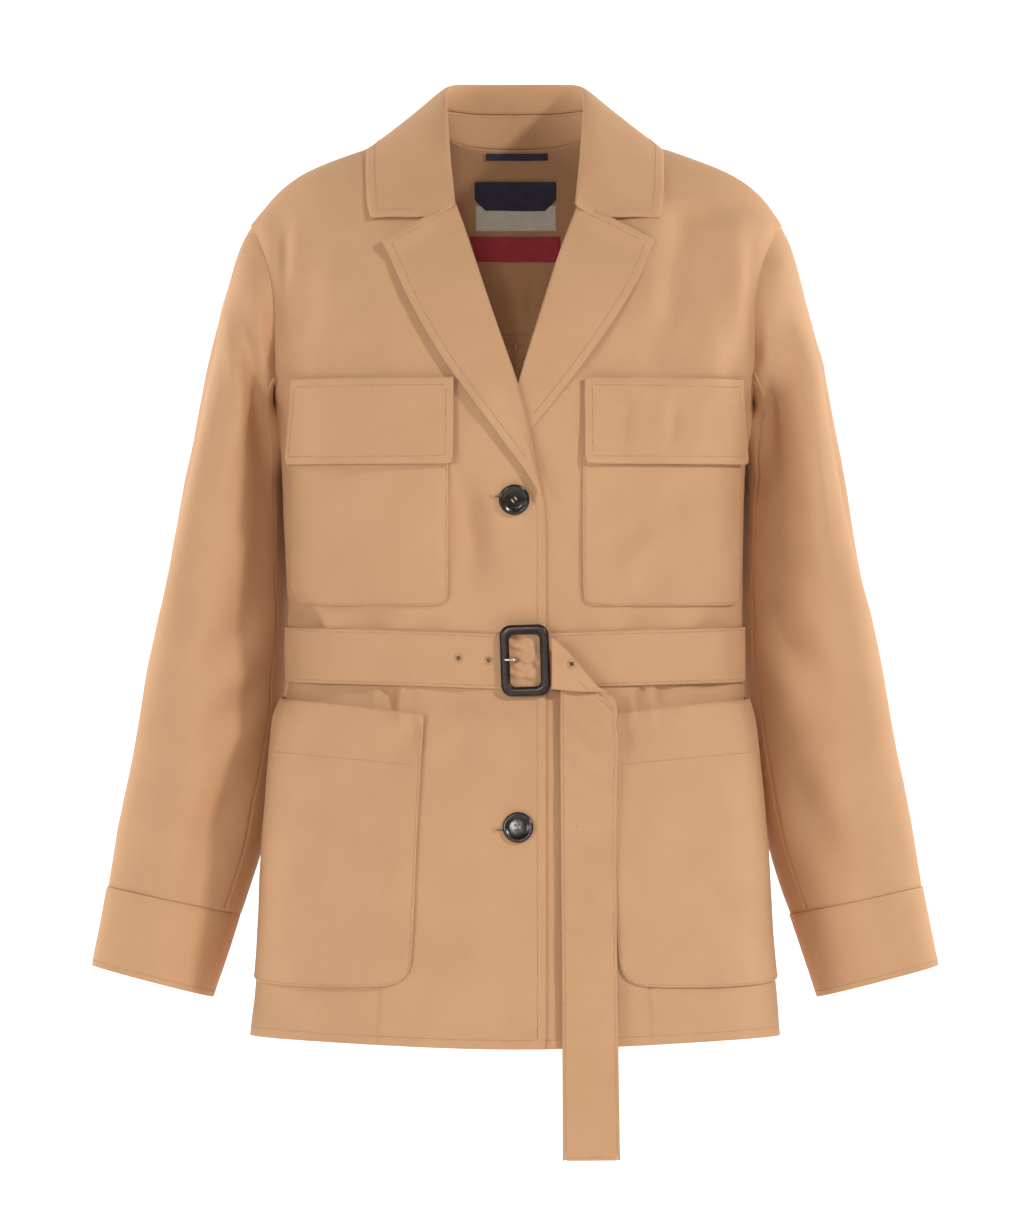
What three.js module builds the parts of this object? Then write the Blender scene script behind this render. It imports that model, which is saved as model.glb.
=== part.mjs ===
// A belted field jacket of cotton gabardine, filled out as it is worn, with nobody in it.
// Millimetres, +Z up. The front faces -Y, and the wearer's left side is +X.
// The origin lies in the neck opening, level with the seam at the back of the neck.
import * as THREE from "three";

// Cloth
const WALL = 1.5; // one layer of gabardine with its turnings behind it
const DOUBLE = 2.2; // belt, cuffs: two layers with interlining
const COLLAR_WALL = 1.8;
const LABEL_WALL = 0.7;
const GAP = 0.3; // between neighbouring pieces
const SEAM = 0.2; // from a seam's line to the edge of each piece
const LAY = 0.9; // the spring between a piece and the panel that it lies on

// Levels
const HEM = -731;
const HEM_CURVE = { drop: 4, from: -655 }; // lower at the centres, higher at the sides
const UNDERARM = -209;
const SHOULDER_END = -64;
const SIDE_NECK = 17;
const YOKE_SEAM = -159;
const WAIST = -421.5;

// Armhole: an ellipse seen from the side, on the body's own surface
const ARMHOLE_LEVEL = (UNDERARM + SHOULDER_END) / 2;
const ARMHOLE_HALF_HEIGHT = (SHOULDER_END - UNDERARM) / 2;
const ARMHOLE_HALF_DEPTH = 58;

// Front opening
const PLACKET = 25; // the lapping edge's distance past the centre
const LAP = WALL + GAP + 0.2; // how far the right front stands over the left one

// Belt, buckle and buttons
const BELT_WIDTH = 45;
const BELT_RISE = 9; // the belt sits higher at the sides
const BUCKLE = { width: 40, height: 58, bar: 7.5, corner: 8, thick: 4, round: 1, x: 8, z: -420, tilt: 2 };
const BUTTON = { radius: 12.5, thick: 3.4, rim: 3, dish: 1.1 };
const BUTTONS = { button_chest: [-1, -289], button_hip: [2.5, -556] };

// The body's rings: half widths on the wearer's right and left, depths to front and back, squareness.
const BODY = table(
  ["z", "right", "left", "front", "back", "square"],
  [
    [-760, 219, 219, 151, 143, 2.2],
    [-731, 217.5, 217.5, 150, 142, 2.2],
    [-672, 211.5, 212, 146, 138, 2.25],
    [-600, 207, 206.5, 141, 132, 2.3],
    [-520, 201, 199, 133, 124, 2.3],
    [-464, 194.5, 192, 121, 111, 2.3],
    [-447, 186, 186, 112, 100, 2.3],
    [-386, 186, 186, 112, 100, 2.3],
    [-370, 187, 187, 117, 103, 2.35],
    [-340, 188, 187, 126, 109, 2.4],
    [-290, 190, 188, 136, 116, 2.4],
    [-240, 192.5, 190.5, 140, 121, 2.45],
    [-209, 196.5, 195, 139, 122, 2.5],
    [-175, 203.5, 203, 134, 122, 2.5],
    [-146, 209.5, 209.5, 128, 120, 2.4],
    [-116, 215, 215, 119, 117, 2.3],
    [-90, 218, 218, 108, 112, 2.2],
    [-64, 217, 219, 95, 104, 2.1],
    [-46, 203, 207, 82, 96, 2],
    [-26, 185, 188, 65, 84, 2],
    [-8, 146, 148, 46, 69, 2],
    [0, 119, 120, 38, 62, 2],
    [9, 88, 89, 26, 54, 2],
    [17, 63, 63, 16, 42, 2],
    [24, 44, 44, 8, 32, 2],
  ],
);

// Gathers that the belt draws in: soft troughs, by place across the front or the back.
const GATHERS = table(
  ["x", "back", "z", "width", "tall", "depth"],
  [
    [-158, 0, -440, 11, 34, 5.5],
    [-126, 0, -448, 10, 30, 6],
    [-99, 0, -446, 7, 26, 4],
    [104, 0, -448, 9, 30, 5.5],
    [137, 0, -444, 10, 32, 5],
    [160, 0, -440, 9, 30, 4.5],
    [-150, 1, -436, 11, 38, 5.5],
    [-112, 1, -442, 10, 34, 6],
    [-70, 1, -434, 11, 42, 5],
    [-28, 1, -440, 10, 34, 4.5],
    [22, 1, -436, 10, 38, 5],
    [66, 1, -444, 11, 34, 6],
    [108, 1, -436, 10, 40, 5.5],
    [148, 1, -440, 11, 32, 5],
  ],
);

// The fronts' inner edges: placket, then the roll line of the lapel, then the neckline.
const EDGE_RIGHT = table(
  ["z", "x"],
  [
    [HEM, PLACKET],
    [-292, PLACKET],
    [-272, 19],
    [-231, 11.5],
    [-197, 2.5],
    [-144, -16],
    [-86, -35],
    [-46, -49],
    [-18, -62],
    [0, -63.5],
    [9, -64],
    [SIDE_NECK, -63],
  ],
);
const EDGE_LEFT = table(
  ["z", "x"],
  [
    [HEM, -PLACKET],
    [-292, -PLACKET],
    [-272, -19],
    [-222, -6],
    [-193, 3],
    [-159, 13.5],
    [-88, 36],
    [-46, 52],
    [-18, 62],
    [0, 63.5],
    [9, 64],
    [SIDE_NECK, 63],
  ],
);

// Lapels: the roll line and the outer edge, row by row from the notch down.
const LAPEL_COLUMNS = ["step", "rollX", "rollZ", "edgeX", "edgeZ"];
const LAPEL_RIGHT = table(LAPEL_COLUMNS, [
  [0, -48, -48.8, -107, -80.8],
  [0.12, -43, -63, -97, -103],
  [0.3, -35, -87, -80, -139],
  [0.5, -24, -120, -54, -182],
  [0.68, -8, -167, -29, -216],
  [0.82, 3.5, -203, -5, -248],
  [0.92, 12.5, -240, 11.5, -270],
  [1, 21.5, -282, 21.5, -287],
]);
const LAPEL_LEFT = table(LAPEL_COLUMNS, [
  [0, 51, -49.4, 112, -79.9],
  [0.15, 46, -63, 102, -107],
  [0.38, 36, -88, 77.5, -148],
  [0.62, 23, -130, 55, -180],
  [0.8, 12, -164, 30, -212],
  [1, 0, -203, 11, -235],
]);

// Neck seam from the centre back (0) past the shoulder seam to the front end (1).
const SHOULDER_STEP = 0.55;
const NECK = table(
  ["step", "x", "z"],
  [
    [0, 0, 0],
    [0.15, 24, 0.5],
    [0.3, 45, 3.5],
    [0.43, 58, 9],
    [0.5, 62, 13.5],
    [0.55, 63, 17],
    [0.62, 64, 9],
    [0.7, 63.5, -1],
    [0.82, 62, -18],
    [0.93, 56, -34],
    [1, 51.5, -43],
  ],
);

// Collar sections: roll, where the leaf leaves it, and the leaf's outer edge on the shoulder.
const COLLAR = table(
  ["step", "rollX", "rollY", "rollZ", "fallX", "fallY", "fallZ", "edgeX", "edgeZ"],
  [
    [0, 0, 66, 53, 0, 75, 47, 0, -24],
    [0.15, 26, 63, 53, 29, 72, 47, 46, -22],
    [0.3, 46, 49, 53, 54, 57, 46, 86, -14],
    [0.43, 55, 28, 50, 66, 33, 43, 110, -5],
    [0.55, 57, -2, 43, 69, -3, 37, 121, 1],
    [0.68, 56, -28, 26, 68, -30, 22, 121.5, -12],
    [0.82, 54, -54, -2, 67, -58, -6, 121, -34],
    [0.93, 51.5, -73, -28, 66, -76, -34, 119.5, -49],
    [1, 49.5, -84.5, -44.5, 71, -82, -57.5, 117, -56],
  ],
);
const STAND_SHARE = 0.54; // of the rise from the neck seam to the roll
const STAND_FOOT = 0.8; // its lower edge above the neck seam

// Sleeves: outer and inner ends of each section seen from the front, its middle and half depth, and
// how much further back its inner end lies, behind the body.
const SLEEVE = table(
  ["step", "outerX", "outerZ", "innerX", "innerZ", "y", "depth", "lean"],
  [
    [0, 218, -64, 193.5, -209, 0, 58, 0],
    [1, 227, -84, 196.5, -213.5, 1, 62, 4],
    [2, 237, -118, 197.4, -220, 5, 67, 14],
    [3, 246, -152, 194, -229, 11, 71, 29],
    [4, 254.5, -192, 191.3, -243, 18, 74, 44],
    [5, 262.5, -232, 188.2, -262, 25, 76, 54],
    [6, 273, -282, 186, -300, 33, 76, 58],
    [7, 287, -350, 182, -368, 42, 73, 60],
    [8, 300, -412, 182.5, -433, 47, 69, 54],
    [9, 308.5, -453, 188, -476, 50, 66, 44],
    [10, 321, -518, 199, -542, 50, 62, 28],
    [11, 328.5, -562, 211, -587, 46, 58, 14],
    [12, 335.5, -606, 225.5, -629, 40, 54, 5],
    [13, 348, -671, 248, -697, 34, 47, 0],
  ],
);
const SLEEVE_SQUARE = 2.15;
const CUFF_STEP = 12;
const SLEEVE_END = 13;
const FRONT_SEAM = 138; // degrees round a section from its outer end, by way of the front
const BACK_SEAM = 245;
// Folds of the sleeves: where they run, how far they bite and over how many degrees.
const SLEEVE_FOLDS = table(
  ["side", "from", "to", "start", "finish", "spread", "depth"],
  [
    [-1, 1.2, 7, 104, 126, 13, 15],
    [-1, 3.5, 9.5, 62, 48, 16, 3],
    [1, 0.8, 9.5, 78, 100, 16, 7],
    [1, 1.5, 5.5, 118, 132, 12, 10],
    [-1, 2, 8, 250, 262, 16, 6],
    [1, 2, 8.5, 258, 244, 16, 6],
  ],
);

// Pockets, for each side: inner and outer edges seen from the front.
const CHEST = { top: -197, bottom: -375, corner: 9 };
const FLAP = { top: -191, bottom: -260, corner: 4, lift: 3.2 };
const CHEST_EDGES = {
  right: { pocket: [-54, -181.5], flap: [-49.5, -181] },
  left: { pocket: [55, 181.5], flap: [56, 183.5] },
};
const HIP = { innerTop: 74, innerBottom: 83, outerAngle: 98, corner: 20, lift: 3.4 };
const HIP_TOP = { inner: -464, outer: -451 };
const HIP_BOTTOM = { inner: -684, outer: -677 };

// Belt tail: the strap's upper and lower edge, from the buckle to the tip, and its lift off the body.
// It turns over at the third row and hangs down behind itself.
const TAIL = table(
  ["step", "upperX", "upperZ", "lowerX", "lowerZ", "lift"],
  [
    [0, 29, -401, 29, -443.5, 12.5],
    [1, 33, -404, 52, -446, 13.5],
    [2, 37.5, -409, 71, -453, 13.5],
    [2.5, 41, -413, 81, -464, 10.6],
    [3, 38.5, -417, 80.5, -471, 7.6],
    [4, 36.5, -440, 82, -486, 7],
    [5, 36, -480, 81.5, -506, 7],
    [6, 36.5, -560, 80.5, -566, 6.5],
    [8, 37.5, -680, 81.5, -681, 6.5],
    [10, 38, -825, 83.5, -825, 7],
  ],
);

// Labels inside the back neck: middle, width, top, bottom and how far they lie off the yoke.
const LABELS = {
  label_tab: { middle: 1, width: 66, top: -41, bottom: -65, off: LAY + SEAM, colour: 0xd6d3c2 },
  label_upper: { middle: 0.5, width: 67, top: -25, bottom: -48, off: LAY + LABEL_WALL + GAP + 2 * SEAM, colour: 0x2b2c40 },
  label_lower: { middle: 0, width: 74, top: -70, bottom: -91, off: LAY, colour: 0xa6323f },
  neck_tape: { middle: 1.5, width: 51, top: -3, bottom: -8.5, off: LAY, colour: 0x2b2c40 },
};

const CLOTH = new THREE.MeshStandardMaterial({ color: 0xcba078, roughness: 0.85, metalness: 0 });
const LEATHER = new THREE.MeshStandardMaterial({ color: 0x2e2321, roughness: 0.45, metalness: 0 });
const HORN = new THREE.MeshStandardMaterial({ color: 0x2a211b, roughness: 0.25, metalness: 0 });
const STEEL = new THREE.MeshStandardMaterial({ color: 0xc9c9c6, roughness: 0.3, metalness: 1 });

const { clamp, degToRad, lerp, smoothstep } = THREE.MathUtils;
const HALF_TURN = Math.PI;

// Tables: named columns, the first one rising, and a smooth curve between the rows.
function table(names, rows) {
  return { names, rows };
}

function gentleSlope(before, after) {
  return before * after > 0 ? (2 * before * after) / (before + after) : 0;
}

function read({ names, rows }, name, key) {
  const column = names.indexOf(name);
  const last = rows.length - 2;
  let i = 0;
  while (i < last && key > rows[i + 1][0]) i += 1;
  const slope = (k) => (rows[k + 1][column] - rows[k][column]) / (rows[k + 1][0] - rows[k][0]);
  const step = rows[i + 1][0] - rows[i][0];
  const t = clamp((key - rows[i][0]) / step, 0, 1);
  const start = (i > 0 ? gentleSlope(slope(i - 1), slope(i)) : slope(i)) * step;
  const finish = (i < last ? gentleSlope(slope(i), slope(i + 1)) : slope(i)) * step;
  const rise = rows[i + 1][column] - rows[i][column];
  const bend = t * (1 - t);
  return rows[i][column] + rise * t * t * (3 - 2 * t) + bend * (start * (1 - t) - finish * t);
}

function eachRow({ names, rows }, use) {
  rows.forEach((row) => use(Object.fromEntries(names.map((name, i) => [name, row[i]]))));
}

const bell = (distance, width) => Math.exp(-((distance / width) ** 2));

// The body's surface, by the angle round it from the centre front towards +X, and by height.
function bodyRadius(angle, z) {
  const side = Math.sin(angle) < 0 ? "right" : "left";
  const depth = Math.cos(angle) > 0 ? "front" : "back";
  const square = read(BODY, "square", z);
  const across = Math.abs(Math.sin(angle)) / read(BODY, side, z);
  const along = Math.abs(Math.cos(angle)) / read(BODY, depth, z);
  return (across ** square + along ** square) ** (-1 / square);
}

function bodyPoint(angle, z) {
  const radius = bodyRadius(angle, z);
  return new THREE.Vector3(radius * Math.sin(angle), -radius * Math.cos(angle), z);
}

function bodyNormal(angle, z) {
  const turn = 0.004;
  const rise = 0.6;
  const round = bodyPoint(angle + turn, z).sub(bodyPoint(angle - turn, z));
  const up = bodyPoint(angle, z + rise).sub(bodyPoint(angle, z - rise));
  return round.cross(up).normalize();
}

function onBody(angle, z, out) {
  return bodyPoint(angle, z).addScaledVector(bodyNormal(angle, z), out);
}

// The angle where a place seen from the front, or through to the back, lies on the body.
function angleOf(x, z, back = false) {
  const half = read(BODY, x < 0 ? "right" : "left", z);
  const depth = read(BODY, back ? "back" : "front", z);
  const square = read(BODY, "square", z);
  const y = depth * (1 - Math.min(1, Math.abs(x) / half) ** square) ** (1 / square);
  return Math.atan2(x, back ? -y : y);
}

function gatherDepth(point) {
  let depth = 0;
  eachRow(GATHERS, (fold) => {
    if (point.y > 0 !== fold.back > 0) return;
    depth += fold.depth * bell(point.x - fold.x, fold.width) * bell(point.z - fold.z, fold.tall);
  });
  return depth;
}

function hemDrop(angle, z) {
  return HEM_CURVE.drop * Math.cos(2 * angle) * smoothstep(-z, -HEM_CURVE.from, -HEM);
}

// A panel of the body: its surface with the gathers and the hem's curve, moved out.
function onPanel(angle, z, out) {
  return onBody(angle, z - hemDrop(angle, z), out - gatherDepth(bodyPoint(angle, z)));
}

// A closed wall between two surfaces over a grid, which may run round and meet itself.
function wall({ columns, rows, outside, inside, round = false }) {
  const positions = [];
  const index = [];
  const across = columns.length;
  const layer = across * rows.length;
  for (const surface of [outside, inside])
    for (const v of rows) for (const u of columns) positions.push(...surface(u, v).toArray());
  const at = (i, j, side) => (i % across) + j * across + side * layer;
  const corner = (k) => new THREE.Vector3().fromArray(positions, k * 3);
  const apart = (a, b) => corner(a).distanceTo(corner(b));
  const quad = (a, b, c, d) => {
    if (apart(a % layer, c % layer) <= apart(b % layer, d % layer)) index.push(a, b, c, a, c, d);
    else index.push(b, c, d, b, d, a);
  };
  const spans = round ? across : across - 1;
  const top = rows.length - 1;
  for (let i = 0; i < spans; i += 1) {
    for (let j = 0; j < top; j += 1) {
      quad(at(i, j, 0), at(i + 1, j, 0), at(i + 1, j + 1, 0), at(i, j + 1, 0));
      quad(at(i, j, 1), at(i, j + 1, 1), at(i + 1, j + 1, 1), at(i + 1, j, 1));
    }
    quad(at(i, 0, 0), at(i, 0, 1), at(i + 1, 0, 1), at(i + 1, 0, 0));
    quad(at(i, top, 0), at(i + 1, top, 0), at(i + 1, top, 1), at(i, top, 1));
  }
  for (let j = 0; j < top && !round; j += 1) {
    quad(at(0, j, 0), at(0, j + 1, 0), at(0, j + 1, 1), at(0, j, 1));
    quad(at(spans, j, 0), at(spans, j, 1), at(spans, j + 1, 1), at(spans, j + 1, 0));
  }
  return facingOut(positions, index);
}

function facingOut(positions, index) {
  const corner = (k) => new THREE.Vector3().fromArray(positions, index[k] * 3);
  let volume = 0;
  for (let k = 0; k < index.length; k += 3)
    volume += corner(k).dot(corner(k + 1).cross(corner(k + 2)));
  if (volume < 0) index.reverse();
  const geometry = new THREE.BufferGeometry();
  geometry.setAttribute("position", new THREE.Float32BufferAttribute(positions, 3));
  geometry.setIndex(index);
  geometry.computeVertexNormals();
  return geometry;
}

const steps = (count) => Array.from({ length: count + 1 }, (_, i) => i / count);
const easedSteps = (count) => steps(count).map((t) => (1 - Math.cos(HALF_TURN * t)) / 2);
const sideSteps = (count) => steps(count).map((t) => t + 0.1 * Math.sin(HALF_TURN * t)); // closer at the side
const between = (from, to, shares) => shares.map((t) => lerp(from, to, t));

const jacket = new THREE.Group();

function add(name, geometry, material = CLOTH) {
  const mesh = new THREE.Mesh(geometry, material);
  mesh.name = name;
  jacket.add(mesh);
  return mesh;
}

// Half depth of the armhole at a height, nothing outside it.
function armholeDepth(z) {
  const level = (z - ARMHOLE_LEVEL) / ARMHOLE_HALF_HEIGHT;
  return Math.abs(level) < 1 ? ARMHOLE_HALF_DEPTH * Math.sqrt(1 - level * level) : 0;
}

// The angle at which a place this far before or behind the middle lies on the body's side.
function sideAngle(side, y, z) {
  const half = read(BODY, side < 0 ? "right" : "left", z);
  const depth = read(BODY, y < 0 ? "front" : "back", z);
  const square = read(BODY, "square", z);
  const x = half * (1 - Math.min(1, Math.abs(y) / depth) ** square) ** (1 / square);
  return Math.atan2(side * x, -y);
}

function frontOuterAngle(side, z) {
  return sideAngle(side, -(armholeDepth(z) + SEAM), z);
}

function backOuterAngle(side, z) {
  return sideAngle(side, armholeDepth(z) + SEAM, z);
}

// How far the right front stands out where it laps over the left front and its lapel.
function lapLift(x, z) {
  const ramp = smoothstep(x, -48, -27);
  const overLapel = smoothstep(z, -274, -250);
  const fade = 1 - smoothstep(z, -185, -120);
  return ramp * fade * (LAP + (WALL + LAY) * overLapel);
}

const PANEL_LEVELS = [
  ...between(HEM, -468, steps(5)),
  ...between(-468, -386, steps(6)).slice(1),
  ...between(-386, -296, steps(2)).slice(1),
  ...between(-296, UNDERARM, steps(4)).slice(1),
];
const ARMHOLE_LEVELS = between(UNDERARM, SHOULDER_END, easedSteps(7)).slice(1);
const SHOULDER_LEVELS = between(SHOULDER_END, SIDE_NECK - SEAM, steps(5)).slice(1);

function buildFront(name, side, edge, lift) {
  const surface = (out) => (u, z) => {
    const inner = angleOf(read(edge, "x", z), z);
    const angle = lerp(inner, frontOuterAngle(side, z), u);
    return onPanel(angle, z, out + lift(bodyPoint(angle, z).x, z));
  };
  const columns = sideSteps(17);
  const rows = [...PANEL_LEVELS, ...ARMHOLE_LEVELS, ...SHOULDER_LEVELS];
  add(name, wall({ columns, rows, outside: surface(0), inside: surface(-WALL) }));
}

function buildBack(name, side) {
  const surface = (out) => (u, z) => {
    const middle = side * (HALF_TURN - SEAM / bodyRadius(HALF_TURN, z));
    return onPanel(lerp(middle, backOuterAngle(side, z), u), z, out);
  };
  const armhole = ARMHOLE_LEVELS.filter((z) => z < YOKE_SEAM - 4);
  const rows = [...PANEL_LEVELS, ...armhole, YOKE_SEAM - SEAM];
  add(name, wall({ columns: sideSteps(13), rows, outside: surface(0), inside: surface(-WALL) }));
}

// A patch of the body spread between four edges, each giving a place as [angle, height].
function spread({ bottom, top, start, finish }) {
  return (u, v) =>
    [0, 1].map((k) => {
      const along = lerp(bottom(u)[k], top(u)[k], v) + lerp(start(v)[k], finish(v)[k], u);
      return along - lerp(lerp(bottom(0)[k], bottom(1)[k], u), lerp(top(0)[k], top(1)[k], u), v);
    });
}

const SHOULDER_SHARE = 0.5; // of the half yoke's top edge, from the armhole to the neck

function yokeTop(side) {
  return (u) => {
    if (u >= SHOULDER_SHARE) {
      const z = lerp(SIDE_NECK - SEAM, SHOULDER_END, (u - SHOULDER_SHARE) / (1 - SHOULDER_SHARE));
      return [backOuterAngle(side, z), z];
    }
    const step = (SHOULDER_STEP * u) / SHOULDER_SHARE;
    const z = read(NECK, "z", step) - SEAM * smoothstep(step, 0, SHOULDER_STEP);
    return [u > 0 ? angleOf(side * read(NECK, "x", step), z, true) : side * HALF_TURN, z];
  };
}

function yokeHalf(side) {
  const low = YOKE_SEAM + SEAM;
  const armhole = (z) => [backOuterAngle(side, z), z];
  return spread({
    bottom: (u) => [lerp(side * HALF_TURN, armhole(low)[0], u), low],
    top: yokeTop(side),
    start: (v) => [side * HALF_TURN, lerp(low, 0, v)],
    finish: (v) => armhole(lerp(low, SHOULDER_END, v)),
  });
}

function buildYoke() {
  const halves = { [-1]: yokeHalf(-1), 1: yokeHalf(1) };
  const surface = (out) => (u, v) => {
    const [angle, z] = halves[u < 0 ? -1 : 1](Math.abs(u), v);
    return onBody(angle, z, out);
  };
  const half = [0.12, 0.25, 0.38, SHOULDER_SHARE, 0.63, 0.76, 0.88, 1];
  const columns = [...half.map((u) => -u).reverse(), 0, ...half];
  add("back_yoke", wall({ columns, rows: steps(6), outside: surface(0), inside: surface(-WALL) }));
}

// A lapel lies on its front: it leaves the roll line close by and stands off towards its edge.
function buildLapel(name, rows, lift, stand) {
  const surface = (out) => (u, v) => {
    const x = lerp(read(rows, "rollX", v), read(rows, "edgeX", v), u);
    const z = lerp(read(rows, "rollZ", v), read(rows, "edgeZ", v), u);
    return onBody(angleOf(x, z), z, lift(x, z) + LAY + stand(u, v) + out);
  };
  add(name, wall({ columns: steps(5), rows: steps(11), outside: surface(WALL), inside: surface(0) }));
}

const LAPEL_STAND = 3;
const lapelRise = (u) => LAPEL_STAND * smoothstep(u, 0, 0.5);
const rightStand = (u, v) => lapelRise(u) + 0.8 * v;
const leftStand = (u, v) => lapelRise(u) * (1 - smoothstep(v, 0.45, 0.8)); // its end lies under the right front

// Moves a place that is too near the body, or inside it, out to lie this far from it.
function restOn(place, clearance) {
  for (let tries = 0; tries < 3 && place.z < SIDE_NECK; tries += 1) {
    const angle = Math.atan2(place.x, -place.y);
    const normal = bodyNormal(angle, place.z);
    const sideways = normal.x * Math.sin(angle) - normal.y * Math.cos(angle);
    const apart = (Math.hypot(place.x, place.y) - bodyRadius(angle, place.z)) * sideways;
    if (apart < clearance) place.addScaledVector(normal, clearance - apart);
  }
  return place;
}

// A wall on both sides of a middle surface.
function bothSides(middle, thickness) {
  const nudge = 0.004;
  const shifted = (out) => (u, v) => {
    const across = middle(u + nudge, v).sub(middle(u - nudge, v));
    const along = middle(u, v + nudge).sub(middle(u, v - nudge));
    return middle(u, v).addScaledVector(across.cross(along).normalize(), out);
  };
  return { outside: shifted(thickness / 2), inside: shifted(-thickness / 2) };
}

function collarSection(position) {
  const side = position < 0 ? -1 : 1;
  const step = Math.min(Math.abs(position), 1);
  const back = step < SHOULDER_STEP;
  const get = (name) => read(COLLAR, name, step);
  const neckX = side * read(NECK, "x", step);
  const neckZ = read(NECK, "z", step);
  const clearance = GAP + COLLAR_WALL / 2 + 0.4;
  return {
    neck: onBody(angleOf(neckX, neckZ, back), neckZ, 0),
    roll: new THREE.Vector3(side * get("rollX"), get("rollY"), get("rollZ")),
    fall: new THREE.Vector3(side * get("fallX"), get("fallY"), get("fallZ")),
    edge: onBody(angleOf(side * get("edgeX"), get("edgeZ"), back), get("edgeZ"), clearance),
    clearance,
  };
}

function buildCollar() {
  const half = [0.08, 0.16, 0.25, 0.33, 0.41, 0.48, 0.55, 0.62, 0.7, 0.78, 0.86, 0.93, 1];
  const columns = [...half.map((u) => -u).reverse(), 0, ...half];
  const standGap = 0.007;
  const stand = (u, v) => {
    const { neck, roll } = collarSection(u);
    const foot = STAND_FOOT / neck.distanceTo(roll);
    return neck.lerp(roll, lerp(foot, STAND_SHARE - standGap, v));
  };
  const leaf = (u, v) => {
    const { neck, roll, fall, edge, clearance } = collarSection(u);
    const foot = neck.lerp(roll, STAND_SHARE + standGap);
    const middle = fall.clone().lerp(edge, 0.5);
    restOn(middle, clearance + 1.5);
    const path = new THREE.CatmullRomCurve3([foot, roll, fall, middle, edge]);
    return restOn(path.getPoint(clamp(v, 0, 1)), clearance);
  };
  const leafRows = [0, 0.13, 0.2, 0.25, 0.31, 0.38, 0.5, 0.66, 0.83, 1];
  add("collar_stand", wall({ columns, rows: steps(2), ...bothSides(stand, COLLAR_WALL) }));
  add("collar_leaf", wall({ columns, rows: leafRows, ...bothSides(leaf, COLLAR_WALL) }));
}

// A sleeve's surface, by degrees round the section from its outer end by way of the front.
const power = (value, exponent) => Math.sign(value) * Math.abs(value) ** exponent;

function sleeveSection(side, turn, step) {
  const get = (name) => read(SLEEVE, name, step);
  const back = get("lean") / 2;
  const outer = new THREE.Vector3(side * get("outerX"), get("y") - back, get("outerZ"));
  const inner = new THREE.Vector3(side * get("innerX"), get("y") + back, get("innerZ"));
  const middle = outer.clone().lerp(inner, 0.5);
  const place = middle.clone();
  place.addScaledVector(outer.sub(inner), power(Math.cos(turn), 2 / SLEEVE_SQUARE) / 2);
  place.y -= get("depth") * power(Math.sin(turn), 2 / SLEEVE_SQUARE);
  return { middle, place };
}

function armholePoint(side, turn) {
  const z = ARMHOLE_LEVEL + ARMHOLE_HALF_HEIGHT * Math.cos(turn);
  const angle = sideAngle(side, -ARMHOLE_HALF_DEPTH * Math.sin(turn), z);
  const place = bodyPoint(angle, z);
  place.x += side * (LAY + SEAM);
  return place;
}

function sleevePoint(side, degrees, step) {
  const turn = degToRad(degrees);
  const { middle, place } = sleeveSection(side, turn, step);
  const settle = Math.max(0, 1 - step / 2) ** 2;
  const armhole = armholePoint(side, turn).sub(sleeveSection(side, turn, 0).place);
  place.addScaledVector(armhole, settle);
  let bite = 0;
  eachRow(SLEEVE_FOLDS, (fold) => {
    const share = clamp((step - fold.from) / (fold.to - fold.from), 0, 1);
    if (fold.side !== side || share === 0 || share === 1) return;
    const away = (((degrees - lerp(fold.start, fold.finish, share)) % 360) + 540) % 360 - 180;
    bite += fold.depth * Math.sin(HALF_TURN * share) * bell(away, fold.spread);
  });
  return place.lerp(middle, bite / place.distanceTo(middle));
}

function sleeveSurface(side, out) {
  const turn = 0.5;
  const nudge = 0.01;
  return (degrees, step) => {
    const round = sleevePoint(side, degrees + turn, step).sub(sleevePoint(side, degrees - turn, step));
    const down = sleevePoint(side, degrees, step + nudge).sub(sleevePoint(side, degrees, step - nudge));
    const normal = round.cross(down).normalize().multiplyScalar(side);
    return sleevePoint(side, degrees, step).addScaledVector(normal, out);
  };
}

const SLEEVE_STEPS = [0, 0.5, 1, 2, 3, 4, 5, 6, 7, 8.5, 10, 11, CUFF_STEP - 0.003];

function buildSleeve(word, side) {
  const seamTurn = 0.22;
  const piece = (name, from, to, count) =>
    add(`${name}_${word}`, wall({
      columns: between(from + seamTurn, to - seamTurn, steps(count)),
      rows: SLEEVE_STEPS,
      outside: sleeveSurface(side, 0),
      inside: sleeveSurface(side, -WALL),
    }));
  piece("sleeve_upper", BACK_SEAM - 360, FRONT_SEAM, 16);
  piece("sleeve_under", FRONT_SEAM, BACK_SEAM, 7);
  add(`cuff_${word}`, wall({
    columns: between(0, 360, steps(24)).slice(0, -1),
    rows: between(CUFF_STEP + 0.003, SLEEVE_END, steps(2)),
    outside: sleeveSurface(side, 0.8),
    inside: sleeveSurface(side, 0.8 - DOUBLE),
    round: true,
  }));
}

// How far a rounded corner lifts an edge, by the distance from its end.
function cornerRise(distance, radius) {
  const short = Math.max(0, radius - distance);
  return radius - Math.sqrt(radius * radius - short * short);
}

// A piece on a front, between two edges seen from the front and two levels.
function buildPatch(name, [innerX, outerX], shape, off, rows) {
  const width = Math.abs(outerX - innerX);
  const surface = (out) => (u, v) => {
    const corner = cornerRise(width * Math.min(u, 1 - u), shape.corner);
    const z = lerp(shape.top, shape.bottom + corner, v);
    const angle = lerp(angleOf(innerX, z), angleOf(outerX, z), u);
    return onBody(angle, z, off + out + (shape.lift ?? 0) * v * v * (0.6 + 0.4 * u));
  };
  const columns = [0, 0.012, 0.04, ...steps(11).slice(1, -1), 0.96, 0.988, 1];
  add(name, wall({ columns, rows: steps(rows), outside: surface(WALL), inside: surface(0) }));
}

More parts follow.
